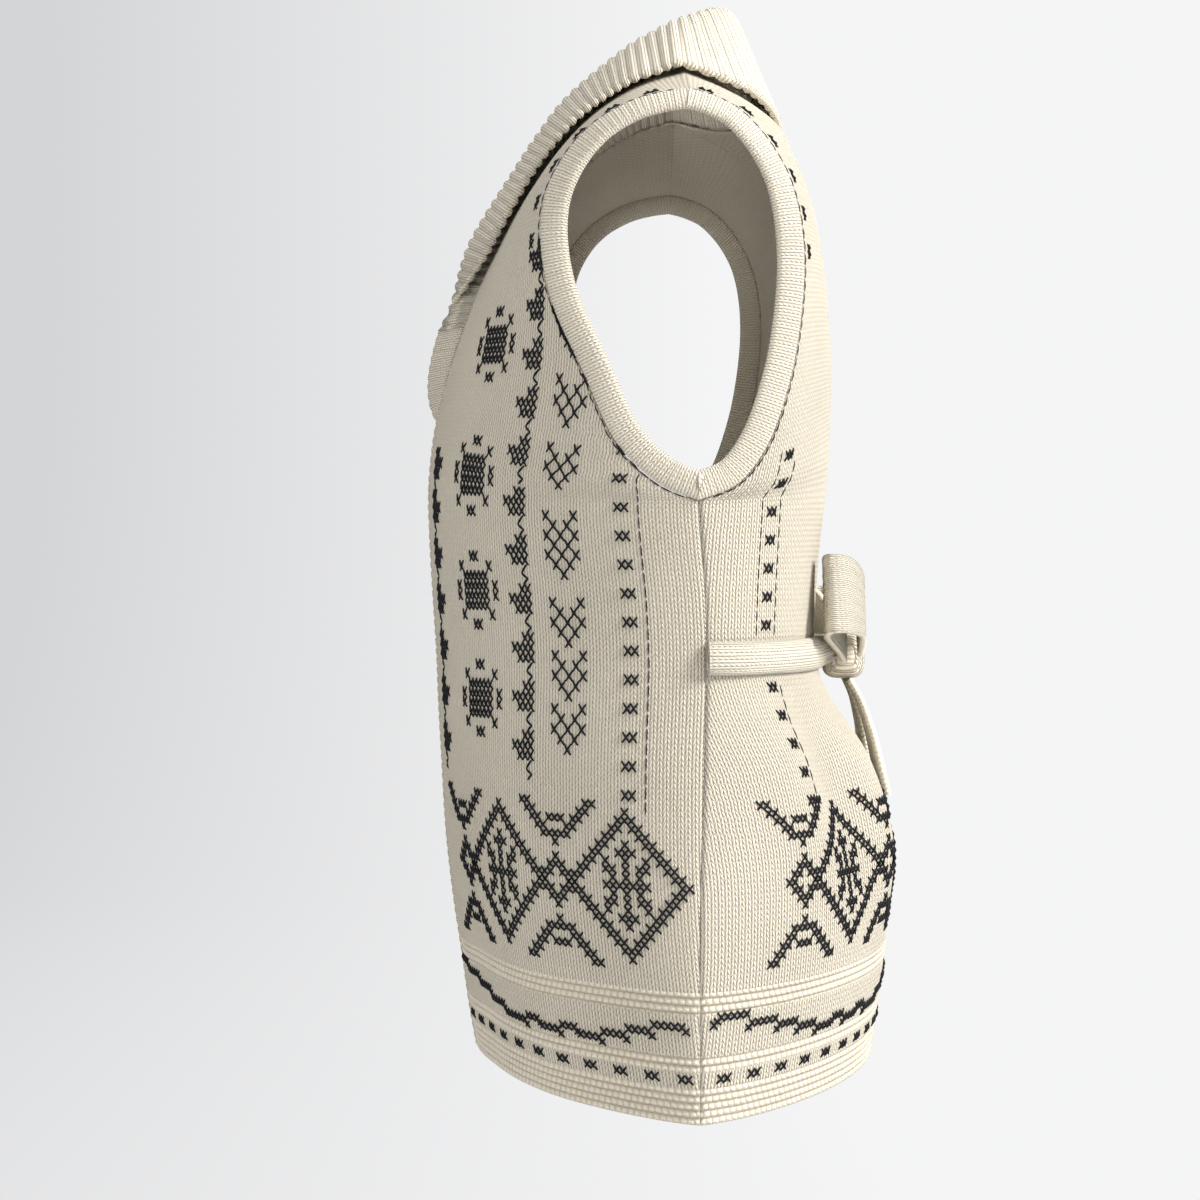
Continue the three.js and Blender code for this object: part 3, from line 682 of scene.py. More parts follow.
# across the band, out from it
ARMBAND_SECTION = np.array([
    (0.45, 0.6), (2.2, 1.5), (5, 1.9), (9, 2.1), (13, 1.9), (16, 1.2), (17.6, -0.2), (17.9, -1.6),
    (17.4, -3.0), (15.5, -4.2), (9, -4.6), (3, -4.4), (0.6, -3.4), (0.45, -1.4),
])
ARMBAND_STATIONS = 420
ARMBAND_RIB_PITCH = 5.0
ARMBAND_RIB_RELIEF = 0.3
ARMBAND_STITCH = (4.2, 3.2)
RIB_COURSE = 3.2


def armhole_bands():
    """Folded bands round the armholes, with faint ribs on the outer half."""
    stations = np.linspace(0, len(RING), ARMBAND_STATIONS, endpoint=False)
    lower = np.floor(stations).astype(int) % len(RING)
    upper = (lower + 1) % len(RING)
    share = (stations - np.floor(stations))[:, None]

    def between(values):
        return values[lower] * (1 - share) + values[upper] * share

    edge, across, normal = between(RING), unit(between(RING_ACROSS)), unit(between(RING_NORMAL))
    distance = lengths(np.concatenate([edge, edge[:1]]))[:-1]
    count = np.round(distance[-1] / ARMBAND_RIB_PITCH)
    ribs = ARMBAND_RIB_RELIEF * np.sin(2 * np.pi * count * distance / distance[-1])
    section = ARMBAND_SECTION
    out = section[:, 1][None, :] + ribs[:, None] * (section[:, 1] > 0)[None, :]
    points = (edge[:, None] + across[:, None] * section[:, 0][None, :, None]
              + normal[:, None] * out[..., None])
    width, height = ARMBAND_STITCH
    uv = np.broadcast_arrays(distance[:, None] / width, lengths(section)[None, :] / height)
    uv = np.stack(uv, axis=-1)
    for side, sign in SIDES:
        sections = on_side(points, sign)
        piece = sweep_mesh(f"armhole_band_{side}_knit", sections, True, uv, RIBBED)
        place_piece(piece, "rib_knit", f"armhole_band_{side}")


armhole_bands()


# ------------------------------------------------------------------ front bands and collar

BAND_FORWARD = 38       # degrees that the bands swing forward as they near the collar
BAND_FORWARD_ROW = 12.1
BAND_FORWARD_ROWS = 0.75
RIB_PITCH = 6.6


def band_forward(row):
    share = 1 - np.exp(-np.maximum(row - BAND_FORWARD_ROW, 0) / BAND_FORWARD_ROWS)
    return np.radians(BAND_FORWARD) * share


def band_point(row, width):
    """Point of the left front band at a width from its seam towards the centre."""
    row = float(row)
    angle = band_forward(row)
    x = front_edge_x(row) - width * np.cos(angle)
    point = cloth("front", row, turn_at_x("front", row, x))
    point[1] -= width * np.sin(angle)
    return point


def band_normal(row):
    across = band_point(row, FRONT_BAND_WIDTH) - band_point(row, 0.0)
    up = band_point(row + 0.2, 0.0) - band_point(max(row - 0.2, 0), 0.0)
    return unit(np.cross(up, across))


def rib(distance, pitch):
    """Rounded rib against a narrow groove, from -0.5 to 0.5."""
    return np.abs(np.cos(np.pi * distance / pitch)) ** 0.75 - 0.5


def ribbed_wall(name, grid, thickness, relief, ribs_along, pitch):
    """Thicken a middle grid; ribs run across the strip or along it."""
    normals = grid_normals(grid)
    along = lengths(grid[:, grid.shape[1] // 2])
    across = lengths(grid[len(grid) // 2])
    distance = across[None, :] - across[-1] / 2 if ribs_along else along[:, None]
    height = relief * rib(distance, pitch) * np.ones(grid.shape[:2])
    wall = normals * (0.5 * thickness + height - 0.25 * relief)[..., None]
    over, under = (across[None, :], along[:, None]) if ribs_along else (along[:, None], across[None, :])
    uv = np.stack(np.broadcast_arrays(over / (pitch / 2), under / RIB_COURSE), axis=-1)
    return wall_mesh(name, grid + wall, grid - wall, uv, RIBBED)


def front_bands():
    rows = np.concatenate([np.linspace(0, 12, 49), np.linspace(12.1, BREAK_ROW - BREAK_GAP, 16)])
    widths = np.linspace(0.45, FRONT_BAND_WIDTH, 7)
    out = FRONT_BAND_PROUD - 0.5 * FRONT_BAND_WALL
    grid = np.array([[band_point(row, width) + band_normal(row) * out for width in widths]
                     for row in rows])
    fine = resample(grid, 420, 12)
    for side, sign in SIDES:
        points = on_side(fine, sign)
        piece = ribbed_wall(f"front_band_{side}_knit", points, 4.6, 0.9, False, RIB_PITCH)
        place_piece(piece, "rib_knit", f"front_band_{side}")


# row, fold x, y, z, edge row, edge x, lift, roll
FRONT_COLLAR = (
    (14, 33, -156, -158, 14, 44, 8, 0),
    (14.5, 33, -152.5, -147, 14.45, 50, 8, 0.35),
    (15, 37, -147.5, -132, 14.85, 68, 7, 0.75),
    (15.5, 40.5, -139.5, -115, 15.25, 80, 6.5, 1),
    (16, 44.5, -128.5, -97, 15.7, 90, 6, 1),
    (17, 50, -110.5, -71, 16.6, 102, 6, 1),
    (18, 55.5, -93, -45, 17.5, 109, 6, 1),
    (19, 60, -71, -18, 18.5, 113, 6, 1),
    (20, 63, -36, 10, 19.7, 113, 6, 1),
    (20.5, 64, -18, 21.5, 20.4, 112, 6, 1),
    (21, 64, -3, 29.5, 21, 110, 6, 1),
)
# neck column, fold x, y, z, edge row, edge x, lift
BACK_COLLAR = (
    (3, 53, 17, 40, 19.95, 93, 6),
    (2, 39, 25, 45, 19.6, 72, 6),
    (1, 21, 30, 48.5, 19.3, 40, 5.5),
    (0, 0, 32, 50, 19.1, 0, 5.5),
)
BACK_NECK_COLUMNS = 4


def collar_section(seam, away, panel_normal, along, fold, edge):
    """Seven points of the collar from its seam over the fold to its outer edge."""
    stand = unit(fold - seam)
    thickness = unit(np.cross(along, stand))
    clear = SEAM_GAP + 0.5 * RIB_WALL * abs(thickness @ away)
    base = seam + away * clear - panel_normal * 0.5 * PANEL_WALL
    up = unit(fold - (base + edge) / 2)
    over = edge - base
    over = unit(over - up * (over @ up))
    reach = min(6, 0.35 * np.linalg.norm(edge - base))
    before = fold - over * reach - up * 0.65 * reach
    after = fold + over * reach - up * 0.65 * reach
    middle = (after + edge) / 2 + up * 4
    return np.array([base, (base + before) / 2, before, fold, after, middle, edge])


def lifted(face, row, x, lift):
    """Where the collar's edge lies: a little off the cloth."""
    turn = turn_at_x(face, row, x)
    return cloth(face, row, turn) + cloth_normal(face, row, turn) * lift


def front_collar_section(row, fx, fy, fz, edge_row, edge_x, lift, roll):
    """Between the flat front band (roll 0) and the rolled collar (roll 1)."""
    def seam_at(r):
        return cloth("front", r, turn_at_x("front", r, front_edge_x(r)))

    direction = unit(seam_at(min(row + 0.1, SHOULDER_ROW)) - seam_at(row - 0.1))
    normal = cloth_normal("front", row, turn_at_x("front", row, front_edge_x(row)))
    if row == SHOULDER_ROW:
        normal = unit(normal * np.array([1.0, 0.0, 1.0]))
    away = unit(np.cross(normal, direction))
    away = -away if away[0] > 0 else away
    rolled = collar_section(seam_at(row), away, normal, direction, np.array([fx, fy, fz]),
                            lifted("front", edge_row, edge_x, lift))
    out = band_normal(row) * (FRONT_BAND_PROUD - 0.5 * RIB_WALL)
    widths = np.linspace(SEAM_GAP, FRONT_BAND_WIDTH, len(rolled))
    flat = np.array([band_point(row, width) + out for width in widths])
    return flat * (1 - roll) + rolled * roll


def back_collar_section(column, fx, fy, fz, edge_row, edge_x, lift):
    def seam_at(turn):
        return cloth("back", back_top_row(turn), turn)

    turn = NECK_TURN * column / BACK_NECK_COLUMNS
    direction = unit(seam_at(turn - 1.5) - seam_at(turn + 1.5))
    normal = cloth_normal("back", back_top_row(turn), turn)
    away = unit(np.cross(normal, direction))
    away = -away if away[2] < 0 else away
    return collar_section(seam_at(turn), away, normal, direction, np.array([fx, fy, fz]),
                          lifted("back", edge_row, edge_x, lift))


def shawl_collar():
    left = np.array([front_collar_section(*station) for station in FRONT_COLLAR]
                    + [back_collar_section(*station) for station in BACK_COLLAR])
    grid = np.concatenate([left, on_side(left[:-1], -1)[::-1]])
    fine = resample(grid, 760, 30)
    piece = ribbed_wall("shawl_collar_knit", fine, 4.4, 2.2, False, 7.6)
    place_piece(piece, "rib_knit", "shawl_collar")


front_bands()
shawl_collar()


# ------------------------------------------------------------------ belt, knot, bow and tails

KNOT = {"halfX": 14, "halfY": 15, "halfZ": 17, "y": 115, "z": -392, "squareness": 0.6}
# row, out from the back: a section of the belt round its two faces
BELT_SECTION = ((6.75, 0.5), (7, 0.5), (7.25, 0.5), (7.28, 3.15), (7.19, 5.6), (7, 7), (6.81, 5.6),
                (6.72, 3.15))

# x, z, distance out from the back, width
BOW_LOOP_LEFT = ((17.2, -389, 22, 18), (42, -374, 17, 34), (70, -361, 11, 46), (94, -353, 9, 52),
                 (108, -350, 15, 52), (99, -351, 25, 50), (74, -357, 31, 44), (46, -368, 33, 34),
                 (17.2, -384, 33, 20))
BOW_LOOP_RIGHT = ((-17.2, -389, 22, 18), (-40, -377, 19, 34), (-63, -371, 17, 44),
                  (-85, -369, 19, 48), (-97, -368, 29, 50), (-85, -368, 40, 48),
                  (-61, -370, 45, 44), (-38, -375, 42, 34), (-17.2, -384, 33, 20))
TAIL_LEFT = ((8.5, -409.6, 20, 14), (10, -424, 21, 18), (16, -445, 15, 30), (22, -466, 10, 38),
             (25, -488, 8, 40))
TAIL_RIGHT = ((-8.5, -409.2, 20, 14), (-11, -423, 20, 18), (-17, -442, 15, 30),
              (-23, -460, 10, 38), (-27, -478, 8, 40))


BELT_SIDE_TURN = 89
BELT_STATIONS, BELT_SIDES = 160, 28
BELT_RISE, BELT_RISE_X = 10, 75     # the belt lifts off the back between this x and the knot
CORD_RIB = 0.45                     # relief of the ribs on the belt and the knot


def belts():
    """Belt halves from the side seams to the knot, ribbed lengthwise with a slight twist."""
    end_turn = float(turn_at_x("back", float(WAIST_ROW), KNOT["halfX"] + SEAM_GAP))
    turns = np.linspace(BELT_SIDE_TURN, end_turn, BELT_STATIONS)
    section = np.array(BELT_SECTION)
    around = np.arange(BELT_SIDES)
    closed = np.concatenate([section[-1:], section, section[:2]])
    rows, outs = spline(closed, around * len(section) / BELT_SIDES + 1).T
    point = cloth("back", float(WAIST_ROW), turns)
    rise = BELT_RISE * (1 - ease(np.abs(point[:, 0]), KNOT["halfX"], BELT_RISE_X)) ** 2
    distance = lengths(point)
    ribs = CORD_RIB * np.cos(2 * np.pi * (around[None, :] / 4) + distance[:, None] * 0.05)
    outward = outs[None, :] + rise[:, None] + ribs * (outs > 1.5)[None, :]
    normals = cloth_normal("back", rows[None, :], turns[:, None])
    points = cloth("back", rows[None, :], turns[:, None]) + normals * outward[..., None]
    uv = np.stack(np.broadcast_arrays(around[None, :] / 2.0, distance[:, None] / RIB_COURSE), -1)
    for side, sign in SIDES:
        sections = on_side(points, sign)
        piece = sweep_mesh(f"belt_{side}_knit", sections, False, uv, RIBBED)
        place_piece(piece, "rib_knit", f"belt_{side}")


def belt_knot():
    """A squarish ball with ribs that run over it."""
    rings, sides = 44, 64
    polar = np.linspace(0.02, np.pi - 0.02, rings)
    around = np.linspace(0, 2 * np.pi, sides, endpoint=False)
    direction = np.stack([
        np.sin(polar)[:, None] * np.cos(around)[None, :],
        np.sin(polar)[:, None] * np.sin(around)[None, :],
        np.cos(polar)[:, None] * np.ones((1, sides)),
    ], axis=-1)
    size = np.array([KNOT["halfX"], KNOT["halfY"], KNOT["halfZ"]])
    points = np.sign(direction) * np.abs(direction) ** KNOT["squareness"] * size
    ribs = CORD_RIB * np.cos(2 * np.pi * points[..., 0] / 4.6) * np.sin(polar)[:, None]
    points = points + unit(direction) * (ribs - 0.5)[..., None]
    points = points + np.array([0, KNOT["y"], KNOT["z"]])
    uv = np.stack([points[..., 0] / 2.3, points[..., 2] / RIB_COURSE], axis=-1)
    piece = sweep_mesh("belt_knot_knit", points, False, uv, RIBBED)
    place_piece(piece, "rib_knit", "belt_knot")


def ribbon(node, stations, upright):
    """A ribbed strip along stations on the back; upright is the way its width points."""
    path = []
    for x, z, out, _ in stations:
        point, normal = cloth_at("back", x, z)
        normal[2] = 0
        path.append(point + unit(normal) * out)
    path = np.array(path)
    widths = np.array([width for *_, width in stations], dtype=float)
    position = np.linspace(0, len(path) - 1, 150)
    centre_line = spline(path, position)
    tangent = unit(np.gradient(centre_line, axis=0))
    upright = np.asarray(upright, dtype=float)
    side = unit(upright - tangent * (tangent @ upright)[:, None])
    across = spline(widths, position)[:, None] * np.linspace(-0.5, 0.5, 26)[None, :]
    grid = centre_line[:, None] + side[:, None] * across[..., None]
    piece = ribbed_wall(f"{node}_knit", grid, 3.8, 1.2, True, 5.2)
    place_piece(piece, "rib_knit", node)


belts()
belt_knot()
ribbon("bow_loop_left", BOW_LOOP_LEFT, (-0.24, 0, 0.97))
ribbon("bow_loop_right", BOW_LOOP_RIGHT, (0.12, 0, 0.99))
ribbon("belt_tail_left", TAIL_LEFT, (1, 0, 0))
ribbon("belt_tail_right", TAIL_RIGHT, (1, 0, 0))


# ------------------------------------------------------------------ cross-stitch

CROSS_WIDTH = 4.4
TALL_CROSS = 6.2        # over two courses, in the figures of the upper body
LOW_CROSS = 4.9         # in the border, the hem and the dashes
YARN = 0.62             # half thickness of the cross-stitch yarn
THREAD = 0.34           # half thickness of the backstitch
UNDER_LIFT, OVER_LIFT, THREAD_LIFT = 0.5, 1.2, 0.3
STRAND_SIDES = 5
STRAND_STEPS = 3
STRAND_ARCH = np.array([0.15, 1.0, 0.15])
STRAND_SWELL = np.array([0.8, 1.1, 0.8])
STRAND_FLATNESS = 1.15


def strand_points(ends, face, lift, half_thickness):
    """Low arches of yarn between pairs of (u, v) ends on one face, as closed small tubes."""
    ends = np.asarray(ends, dtype=float)
    share = np.linspace(0, 1, STRAND_STEPS)
    u = ends[:, 0, 0][:, None] * (1 - share) + ends[:, 1, 0][:, None] * share
    v = ends[:, 0, 1][:, None] * (1 - share) + ends[:, 1, 1][:, None] * share
    rows = row_at_v(v)
    turns = turn_at_u(face, rows, u)
    surface = cloth(face, rows, turns)
    normals = cloth_normal(face, rows, turns)
    middle = surface + normals * (lift * STRAND_ARCH)[None, :, None]
    tangent = unit(np.gradient(middle, axis=1))
    side = unit(np.cross(normals, tangent))
    angle = np.linspace(0, 2 * np.pi, STRAND_SIDES, endpoint=False)
    thick = (half_thickness * STRAND_SWELL)[None, :, None, None]
    wide = (np.cos(angle) * STRAND_FLATNESS)[None, None, :, None]
    high = np.sin(angle)[None, None, :, None]
    return middle[:, :, None] + side[:, :, None] * wide * thick + normals[:, :, None] * high * thick


def strand_faces(count):
    index = np.arange(STRAND_STEPS * STRAND_SIDES).reshape(STRAND_STEPS, STRAND_SIDES)
    turned = np.roll(index, -1, axis=1)
    sides = np.stack([index[:-1], turned[:-1], turned[1:], index[1:]], axis=-1).reshape(-1, 4)
    faces = []
    size = STRAND_STEPS * STRAND_SIDES
    caps = [index[0][::-1].tolist(), index[-1].tolist()]
    for i in range(count):
        faces.extend((sides + i * size).tolist())
        faces.extend([[k + i * size for k in cap] for cap in caps])
    return faces


def crosses(chart, u0, v0, height=TALL_CROSS, scale_u=1.0):
    """Centres and height of the crosses of a chart (lines from the top down) round a middle."""
    lines = chart.split()
    rows, columns = len(lines), max(len(line) for line in lines)
    found = []
    for i, line in enumerate(lines):
        for j, mark in enumerate(line):
            if mark == "x":
                found.append((u0 + scale_u * (j - (columns - 1) / 2) * CROSS_WIDTH,
                              v0 + ((rows - 1) / 2 - i) * height, height))
    return found


def embroider(name, face, centres, lines, threads):
    """Black stitches on one face: crosses, thick lines and thin backstitch lines."""
    under, over = [], []
    half_u = 0.5 * CROSS_WIDTH * 1.12
    for u, v, height in centres:
        half_v = 0.5 * height * 1.1
        under.append(((u - half_u, v - half_v), (u + half_u, v + half_v)))
        over.append(((u - half_u, v + half_v), (u + half_u, v - half_v)))
    groups = [(under + lines, UNDER_LIFT, YARN), (over, OVER_LIFT, YARN),
              (threads, THREAD_LIFT, THREAD)]
    points = np.concatenate([strand_points(ends, face, lift, half).reshape(-1, 3)
                             for ends, lift, half in groups])
    faces = strand_faces(sum(len(ends) for ends, _, _ in groups))
    place_piece(add_mesh(name, points, faces, BLACK), "stocking_knit")


ROSETTE = """
....xx....
.x......x.
..xxxxxx..
x.xxxxxx.x
x.xxxxxx.x
..xxxxxx..
.x......x.
....xx....
"""

TRIANGLE = """
..xx
xxxx
.xxx
"""

HEART = """
x...x
.x.x.
x.x.x
.x.x.
..x..
"""

LONG_HEART = """
x...x
.x.x.
x.x.x
.x.x.
x.x.x
.x.x.
..x..
"""

LOZENGE = """
..........x..........
.........xxx.........
........xx.xx........
.......xx...xx.......
......xx..x..xx......
.....xx..xxx..xx.....
....xx.x..x..x.xx....
...xx..xx.x.xx..xx...
..xx....x.x.x....xx..
.xx....xxxxxxx....xx.
..xx....x.x.x....xx..
...xx..xx.x.xx..xx...
....xx.x..x..x.xx....
.....xx..xxx..xx.....
......xx..x..xx......
.......xx...xx.......
........xx.xx........
.........xxx.........
..........x..........
"""

SPACER = """
...x...
..xxx..
.xx.xx.
xx...xx
.xx.xx.
..xxx..
...x...
"""

CHEVRON = """
xx.........xx
.xx.......xx.
..xx.xxx.xx..
...xx...xx...
....xxxxx....
......x......
"""


def v_at(face, u, z):
    """Length up the cloth of the point at u along its row whose height is z."""
    rows = TABLE_ROWS
    turns = turn_at_u(face, rows, np.full(len(rows), float(u)))
    heights = smooth_cloth(face, rows, turns)[:, 2]
    return float(np.interp(z, heights, V_TABLE))


def edge_u(face, row):
    """Length of a row from the centre line to the side seam or the armhole."""
    return float(U_TABLE[face][table_row(row)][-1])


ROSETTE_U, TRIANGLE_U, HEART_U, NEAR_TRIANGLE_U = 127.0, 177.0, 203.0, 62.0
ROSETTE_Z = (-190, -272.6, -347.6, -416.8)
HEART_Z = (-188, -231, -272, -368, -401, -434)
LONG_HEART_Z = -320
TRIANGLE_Z = tuple(-445 + 30.6 * i for i in range(11))
BORDER_V = 140.0
BORDER_PITCH = 22 * CROSS_WIDTH
CHEVRON_V = 36          # from the border's middle to that of its chevrons
HEM_LINE_V = 53.0
HEM_DASH_V = 27.0
HEM_DASH_PITCH = 21.5
HEART_STRETCH = 1.12
STRIP_CROSS = 6.0
STRIP_PITCH = 17.6
STRIP_STITCH, STRIP_STITCH_PITCH = 7.0, 8.8
ARMHOLE_DASH_IN, ARMHOLE_DASH_PITCH = 10.5, 25.0
BACKSTITCH_IN, BACKSTITCH, BACKSTITCH_PITCH = 1.2, 6.6, 8.4
LAST_ROW = 20.95        # stitches stop just short of the shoulder seam


def border(first_u, last_u):
    """Stepped lozenges with a star inside, and small diamonds and chevrons between them."""
    found = []
    u = BORDER_PITCH / 2
    while u < last_u - 10 * CROSS_WIDTH:
        if u - 10 * CROSS_WIDTH > first_u:
            found += crosses(LOZENGE, u, BORDER_V, LOW_CROSS)
        u += BORDER_PITCH
    u = BORDER_PITCH
    while u < last_u - 5 * CROSS_WIDTH:
        found += crosses(SPACER, u, BORDER_V, LOW_CROSS)
        found += crosses(CHEVRON, u, BORDER_V + CHEVRON_V, LOW_CROSS)
        found += crosses(CHEVRON[::-1], u, BORDER_V - CHEVRON_V, LOW_CROSS)
        u += BORDER_PITCH
    return found


# crosses, level in crosses above the middle of the hem line
HEM_LEVELS = ((5, 2.2), (5, 1.3), (5, 0.3), (5, -0.7), (6, -1.6), (3, -0.9), (4, -1.6), (3, -0.9),
              (4, -1.6), (4, -0.8), (4, 0.1), (5, 1.0))


def hem_line(first_u, last_u):
    """Line of crosses that steps down and up again between the two garter bands."""
    found = []
    u = first_u
    while u < last_u:
        for count, level in HEM_LEVELS:
            for i in range(count):
                if u < last_u:
                    found.append((u, HEM_LINE_V + LOW_CROSS * level, LOW_CROSS))
                    if i == count - 1:
                        v = HEM_LINE_V + LOW_CROSS * (level - 0.5)
                        found.append((u + CROSS_WIDTH / 2, v, 4.0))
                u += CROSS_WIDTH
    return found


def hem_dashes(first_u, last_u):
    found = []
    u = first_u
    while u < last_u - CROSS_WIDTH:
        found += crosses("xx", u, HEM_DASH_V, LOW_CROSS)
        u += HEM_DASH_PITCH
    return found


ARMHOLE_DASH_ROW = {"front": 14.8, "back": 14.9}


def armhole_stitches(face, first_row, count, starts_from, end_short, pitch, span, inset):
    """Pairs of (u, v) places a span apart, at even steps along an armhole edge."""
    rows = np.linspace(first_row, LAST_ROW, count)
    distance = lengths(row_edge(face, rows))
    pairs = []
    for start in np.arange(starts_from, distance[-1] - end_short, pitch):
        ends = [float(np.interp(at, distance, rows)) for at in (start, start + span)]
        pairs.append(tuple((edge_u(face, row) - inset, v_at_row(row)) for row in ends))
    return pairs


def armhole_dashes(face):
    """Pairs of crosses that follow the armhole, a little way in from its seam."""
    pairs = armhole_stitches(face, ARMHOLE_DASH_ROW[face], 400, 12.0, 0, ARMHOLE_DASH_PITCH,
                             CROSS_WIDTH, ARMHOLE_DASH_IN)
    return [(u, v, LOW_CROSS) for pair in pairs for u, v in pair]


def armhole_backstitch(face):
    return armhole_stitches(face, 10.3, 500, 2.0, 8, BACKSTITCH_PITCH, BACKSTITCH, BACKSTITCH_IN)


def strip_dashes(face, u, top_z, bottom_z):
    """A column of paired crosses."""
    found = []
    for z in np.arange(top_z, bottom_z, -STRIP_PITCH):
        found += crosses("xx", u, v_at(face, u, z), STRIP_CROSS)
    return found


def strip_line(face, u, top_z, bottom_z):
    """A column of running stitches."""
    marks = np.arange(v_at(face, u, bottom_z), v_at(face, u, top_z), STRIP_STITCH_PITCH)
    return [((u, v), (u, v + STRIP_STITCH)) for v in marks]


# towards the centre front, down from the triangle
ZIGZAG = ((1.5, 0), (6.0, 5.5), (1.5, 9), (5.0, 12.5))


def triangle_chain(u, heights, sign):
    """Triangles that point to the centre front (sign 1), joined by a thin zigzag."""
    found, zigzag = [], []
    for z in heights:
        v = v_at("front", u, z)
        found += crosses(TRIANGLE, u - 2 * CROSS_WIDTH * sign, v, scale_u=sign)
        bottom = v - 1.5 * TALL_CROSS
        bend = [(u - across * sign, bottom - down) for across, down in ZIGZAG]
        zigzag += list(zip(bend[:-1], bend[1:]))
    return found, zigzag


def low_motifs(face, border_u, hem_line_u, hem_dash_u):
    """Border and hem of one half of a face, from the given starts, and the armhole dashes."""
    return (border(border_u, edge_u(face, 5) - 4)
            + hem_line(hem_line_u, edge_u(face, 1.5) - 6)
            + hem_dashes(hem_dash_u, edge_u(face, 1) - 4)
            + armhole_dashes(face))


def mirrored(sign, centres, *groups):
    """Crosses and groups of lines on the left side (sign 1) or the right side (sign -1)."""
    lines = [[tuple((sign * u, v) for u, v in line) for line in group] for group in groups]
    return [(sign * u, v, height) for u, v, height in centres], *lines


def front_embroidery():
    """Columns of rosettes, triangles, hearts and dashes over the border and the hem."""
    centres = []
    for z in ROSETTE_Z:
        centres += crosses(ROSETTE, ROSETTE_U, v_at("front", ROSETTE_U, z))
    outer, outer_zigzag = triangle_chain(TRIANGLE_U, TRIANGLE_Z, 1)
    near, near_zigzag = triangle_chain(NEAR_TRIANGLE_U, TRIANGLE_Z[:7], -1)
    centres += outer + near
    for z in HEART_Z:
        centres += crosses(HEART, HEART_U, v_at("front", HEART_U, z), scale_u=HEART_STRETCH)
    middle = v_at("front", HEART_U, LONG_HEART_Z)
    centres += crosses(LONG_HEART, HEART_U, middle, scale_u=HEART_STRETCH)
    strip_u = edge_u("front", 8) - 47
    centres += strip_dashes("front", strip_u, -262, -480)
    centres += low_motifs("front", 36, 40, 52)
    threads = armhole_backstitch("front") + strip_line("front", strip_u + 11, -268, -484)
    for side, sign in SIDES:
        stitches = mirrored(sign, centres, outer_zigzag + near_zigzag, threads)
        embroider(f"cross_stitch_front_{side}", "front", *stitches)


def back_embroidery():
    """Side strips that the belt interrupts, over the border and the hem."""
    strip_u = edge_u("back", 8) - 46
    half = strip_dashes("back", strip_u, -264, -380) + strip_dashes("back", strip_u, -408, -480)
    half += low_motifs("back", 4, 2, 10)
    threads = armhole_backstitch("back")
    threads += strip_line("back", strip_u - 9, -268, -376)
    threads += strip_line("back", strip_u + 9, -268, -376)
    threads += strip_line("back", strip_u - 9, -410, -484)
    other_half, other_threads = mirrored(-1, half, threads)
    embroider("cross_stitch_back", "back", half + other_half, [], threads + other_threads)


front_embroidery()
back_embroidery()


# ------------------------------------------------------------------ camera, floor and light

PHOTO_DISTANCE = 1.46
FRAME_WIDTH = 0.84
SENSOR = 36
CAMERA_AIM = (0.0, -0.055, -0.354)
LIGHT_AIM = (0, 0, -0.35)


def put(name, data, location, aim):
    """Add a camera or light that looks at a point."""
    thing = bpy.data.objects.new(name, data)
    thing.location = location
    thing.rotation_euler = (Vector(aim) - Vector(location)).to_track_quat("-Z", "Y").to_euler()
    bpy.context.scene.collection.objects.link(thing)
    return thing


def camera():
    data = bpy.data.cameras.new("camera")
    data.sensor_width = SENSOR
    data.lens = SENSOR * PHOTO_DISTANCE / FRAME_WIDTH
    location = (PHOTO_DISTANCE, CAMERA_AIM[1], CAMERA_AIM[2])
    bpy.context.scene.camera = put("camera", data, location, CAMERA_AIM)


def area_light(name, location, aim, size, power, colour=(1, 1, 1)):
    data = bpy.data.lights.new(name, "AREA")
    data.shape = "DISK"
    data.size = size
    data.energy = power
    data.color = colour
    put(name, data, location, aim)


# colours of the floor's painted light glow: the shaded front side and the lit back side
FLOOR_GLOW_SHADED = (0.66, 0.665, 0.675)
FLOOR_GLOW_LIT = (0.91, 0.912, 0.92)


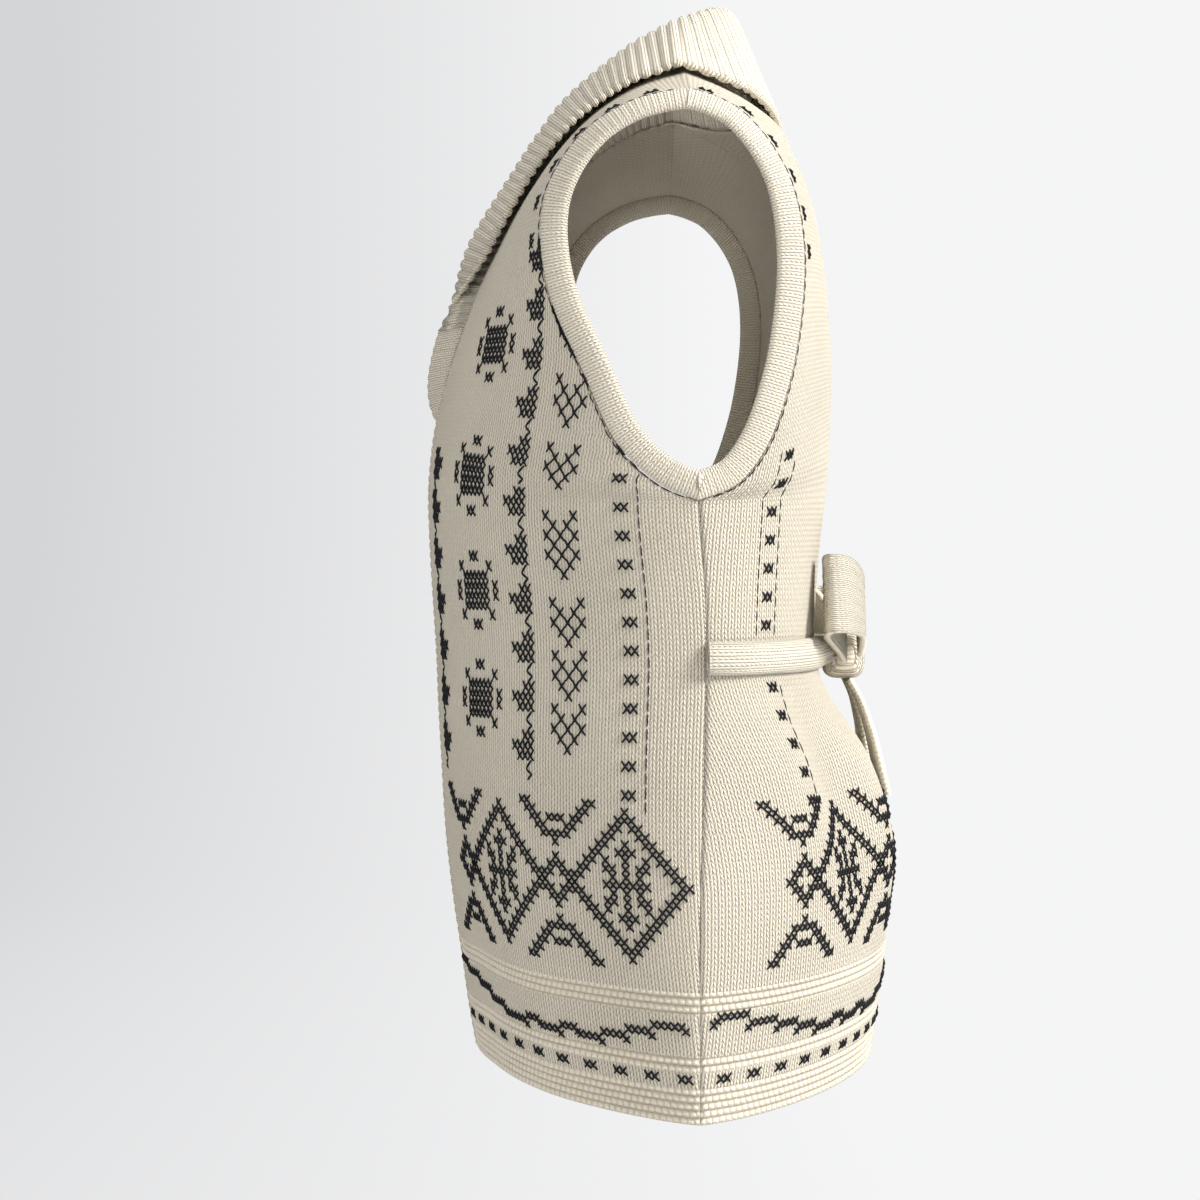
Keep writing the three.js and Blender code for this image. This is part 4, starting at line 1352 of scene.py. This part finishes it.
def floor():
    """A pale floor under the hanging vest that curves up into a backdrop far behind it; where it is
    seen it glows with painted light, grey on the front side and white on the back side.
    """
    low, far, bend, reach = -1.05, -3.2, 1.6, 6.0
    arc = np.linspace(0, np.pi / 2, 25)
    profile = [(4.0, low)]
    profile += [(far - bend * np.sin(a), low + bend * (1 - np.cos(a))) for a in arc]
    profile += [(far - bend, 4.5)]
    points = [(x, y, z) for x, z in profile for y in (-reach, reach)]
    faces = [(2 * i, 2 * i + 1, 2 * i + 3, 2 * i + 2) for i in range(len(profile) - 1)]
    material, m, shader = new_material("pale_floor", Base_Color=(0.82, 0.82, 0.83, 1), Roughness=0.9)
    split = m.node("ShaderNodeSeparateXYZ")
    m.link(m.node("ShaderNodeTexCoord").outputs["Object"], split.inputs[0])
    # painted light: seen and reflected rays get a glow that runs from grey at the front side to white
    # at the back side
    across = m("ADD", m("MULTIPLY", split.outputs["Y"], 0.5), 0.85)
    painted_glow = m.node("ShaderNodeEmission")
    m.link(m.ramp(across, (0.0, FLOOR_GLOW_SHADED), (1.0, FLOOR_GLOW_LIT)), painted_glow.inputs["Color"])
    blend = m.node("ShaderNodeMixShader")
    for socket, value in zip(blend.inputs, (m.seen(), shader.outputs[0], painted_glow.outputs[0])):
        m.link(value, socket)
    m.link(blend.outputs[0], m.tree.nodes["Material Output"].inputs["Surface"])
    add_mesh("floor", np.array(points) / MM, faces, material)


def world():
    """Even pale light from all round, brighter where it is seen."""
    scene_world = bpy.data.worlds.new("studio")
    bpy.context.scene.world = scene_world
    scene_world.use_nodes = True
    tree = scene_world.node_tree
    m = Nodes(tree)
    background = tree.nodes["Background"]
    m.link(m.mix(m.seen(), 0.42, 0.82), background.inputs["Strength"])
    background.inputs["Color"].default_value = (0.985, 0.99, 1.0, 1)


camera()
floor()
world()
area_light("back_key", (0.9, 1.9, 0.9), LIGHT_AIM, 1.0, 78, (1.0, 0.985, 0.96))
area_light("front_fill", (1.9, -1.1, 0.5), LIGHT_AIM, 1.6, 15, (1.0, 0.98, 0.95))
area_light("top_soft", (0.2, 0.1, 1.6), (0, 0, -0.3), 1.4, 12)

bpy.context.scene.view_settings.view_transform = "Standard"
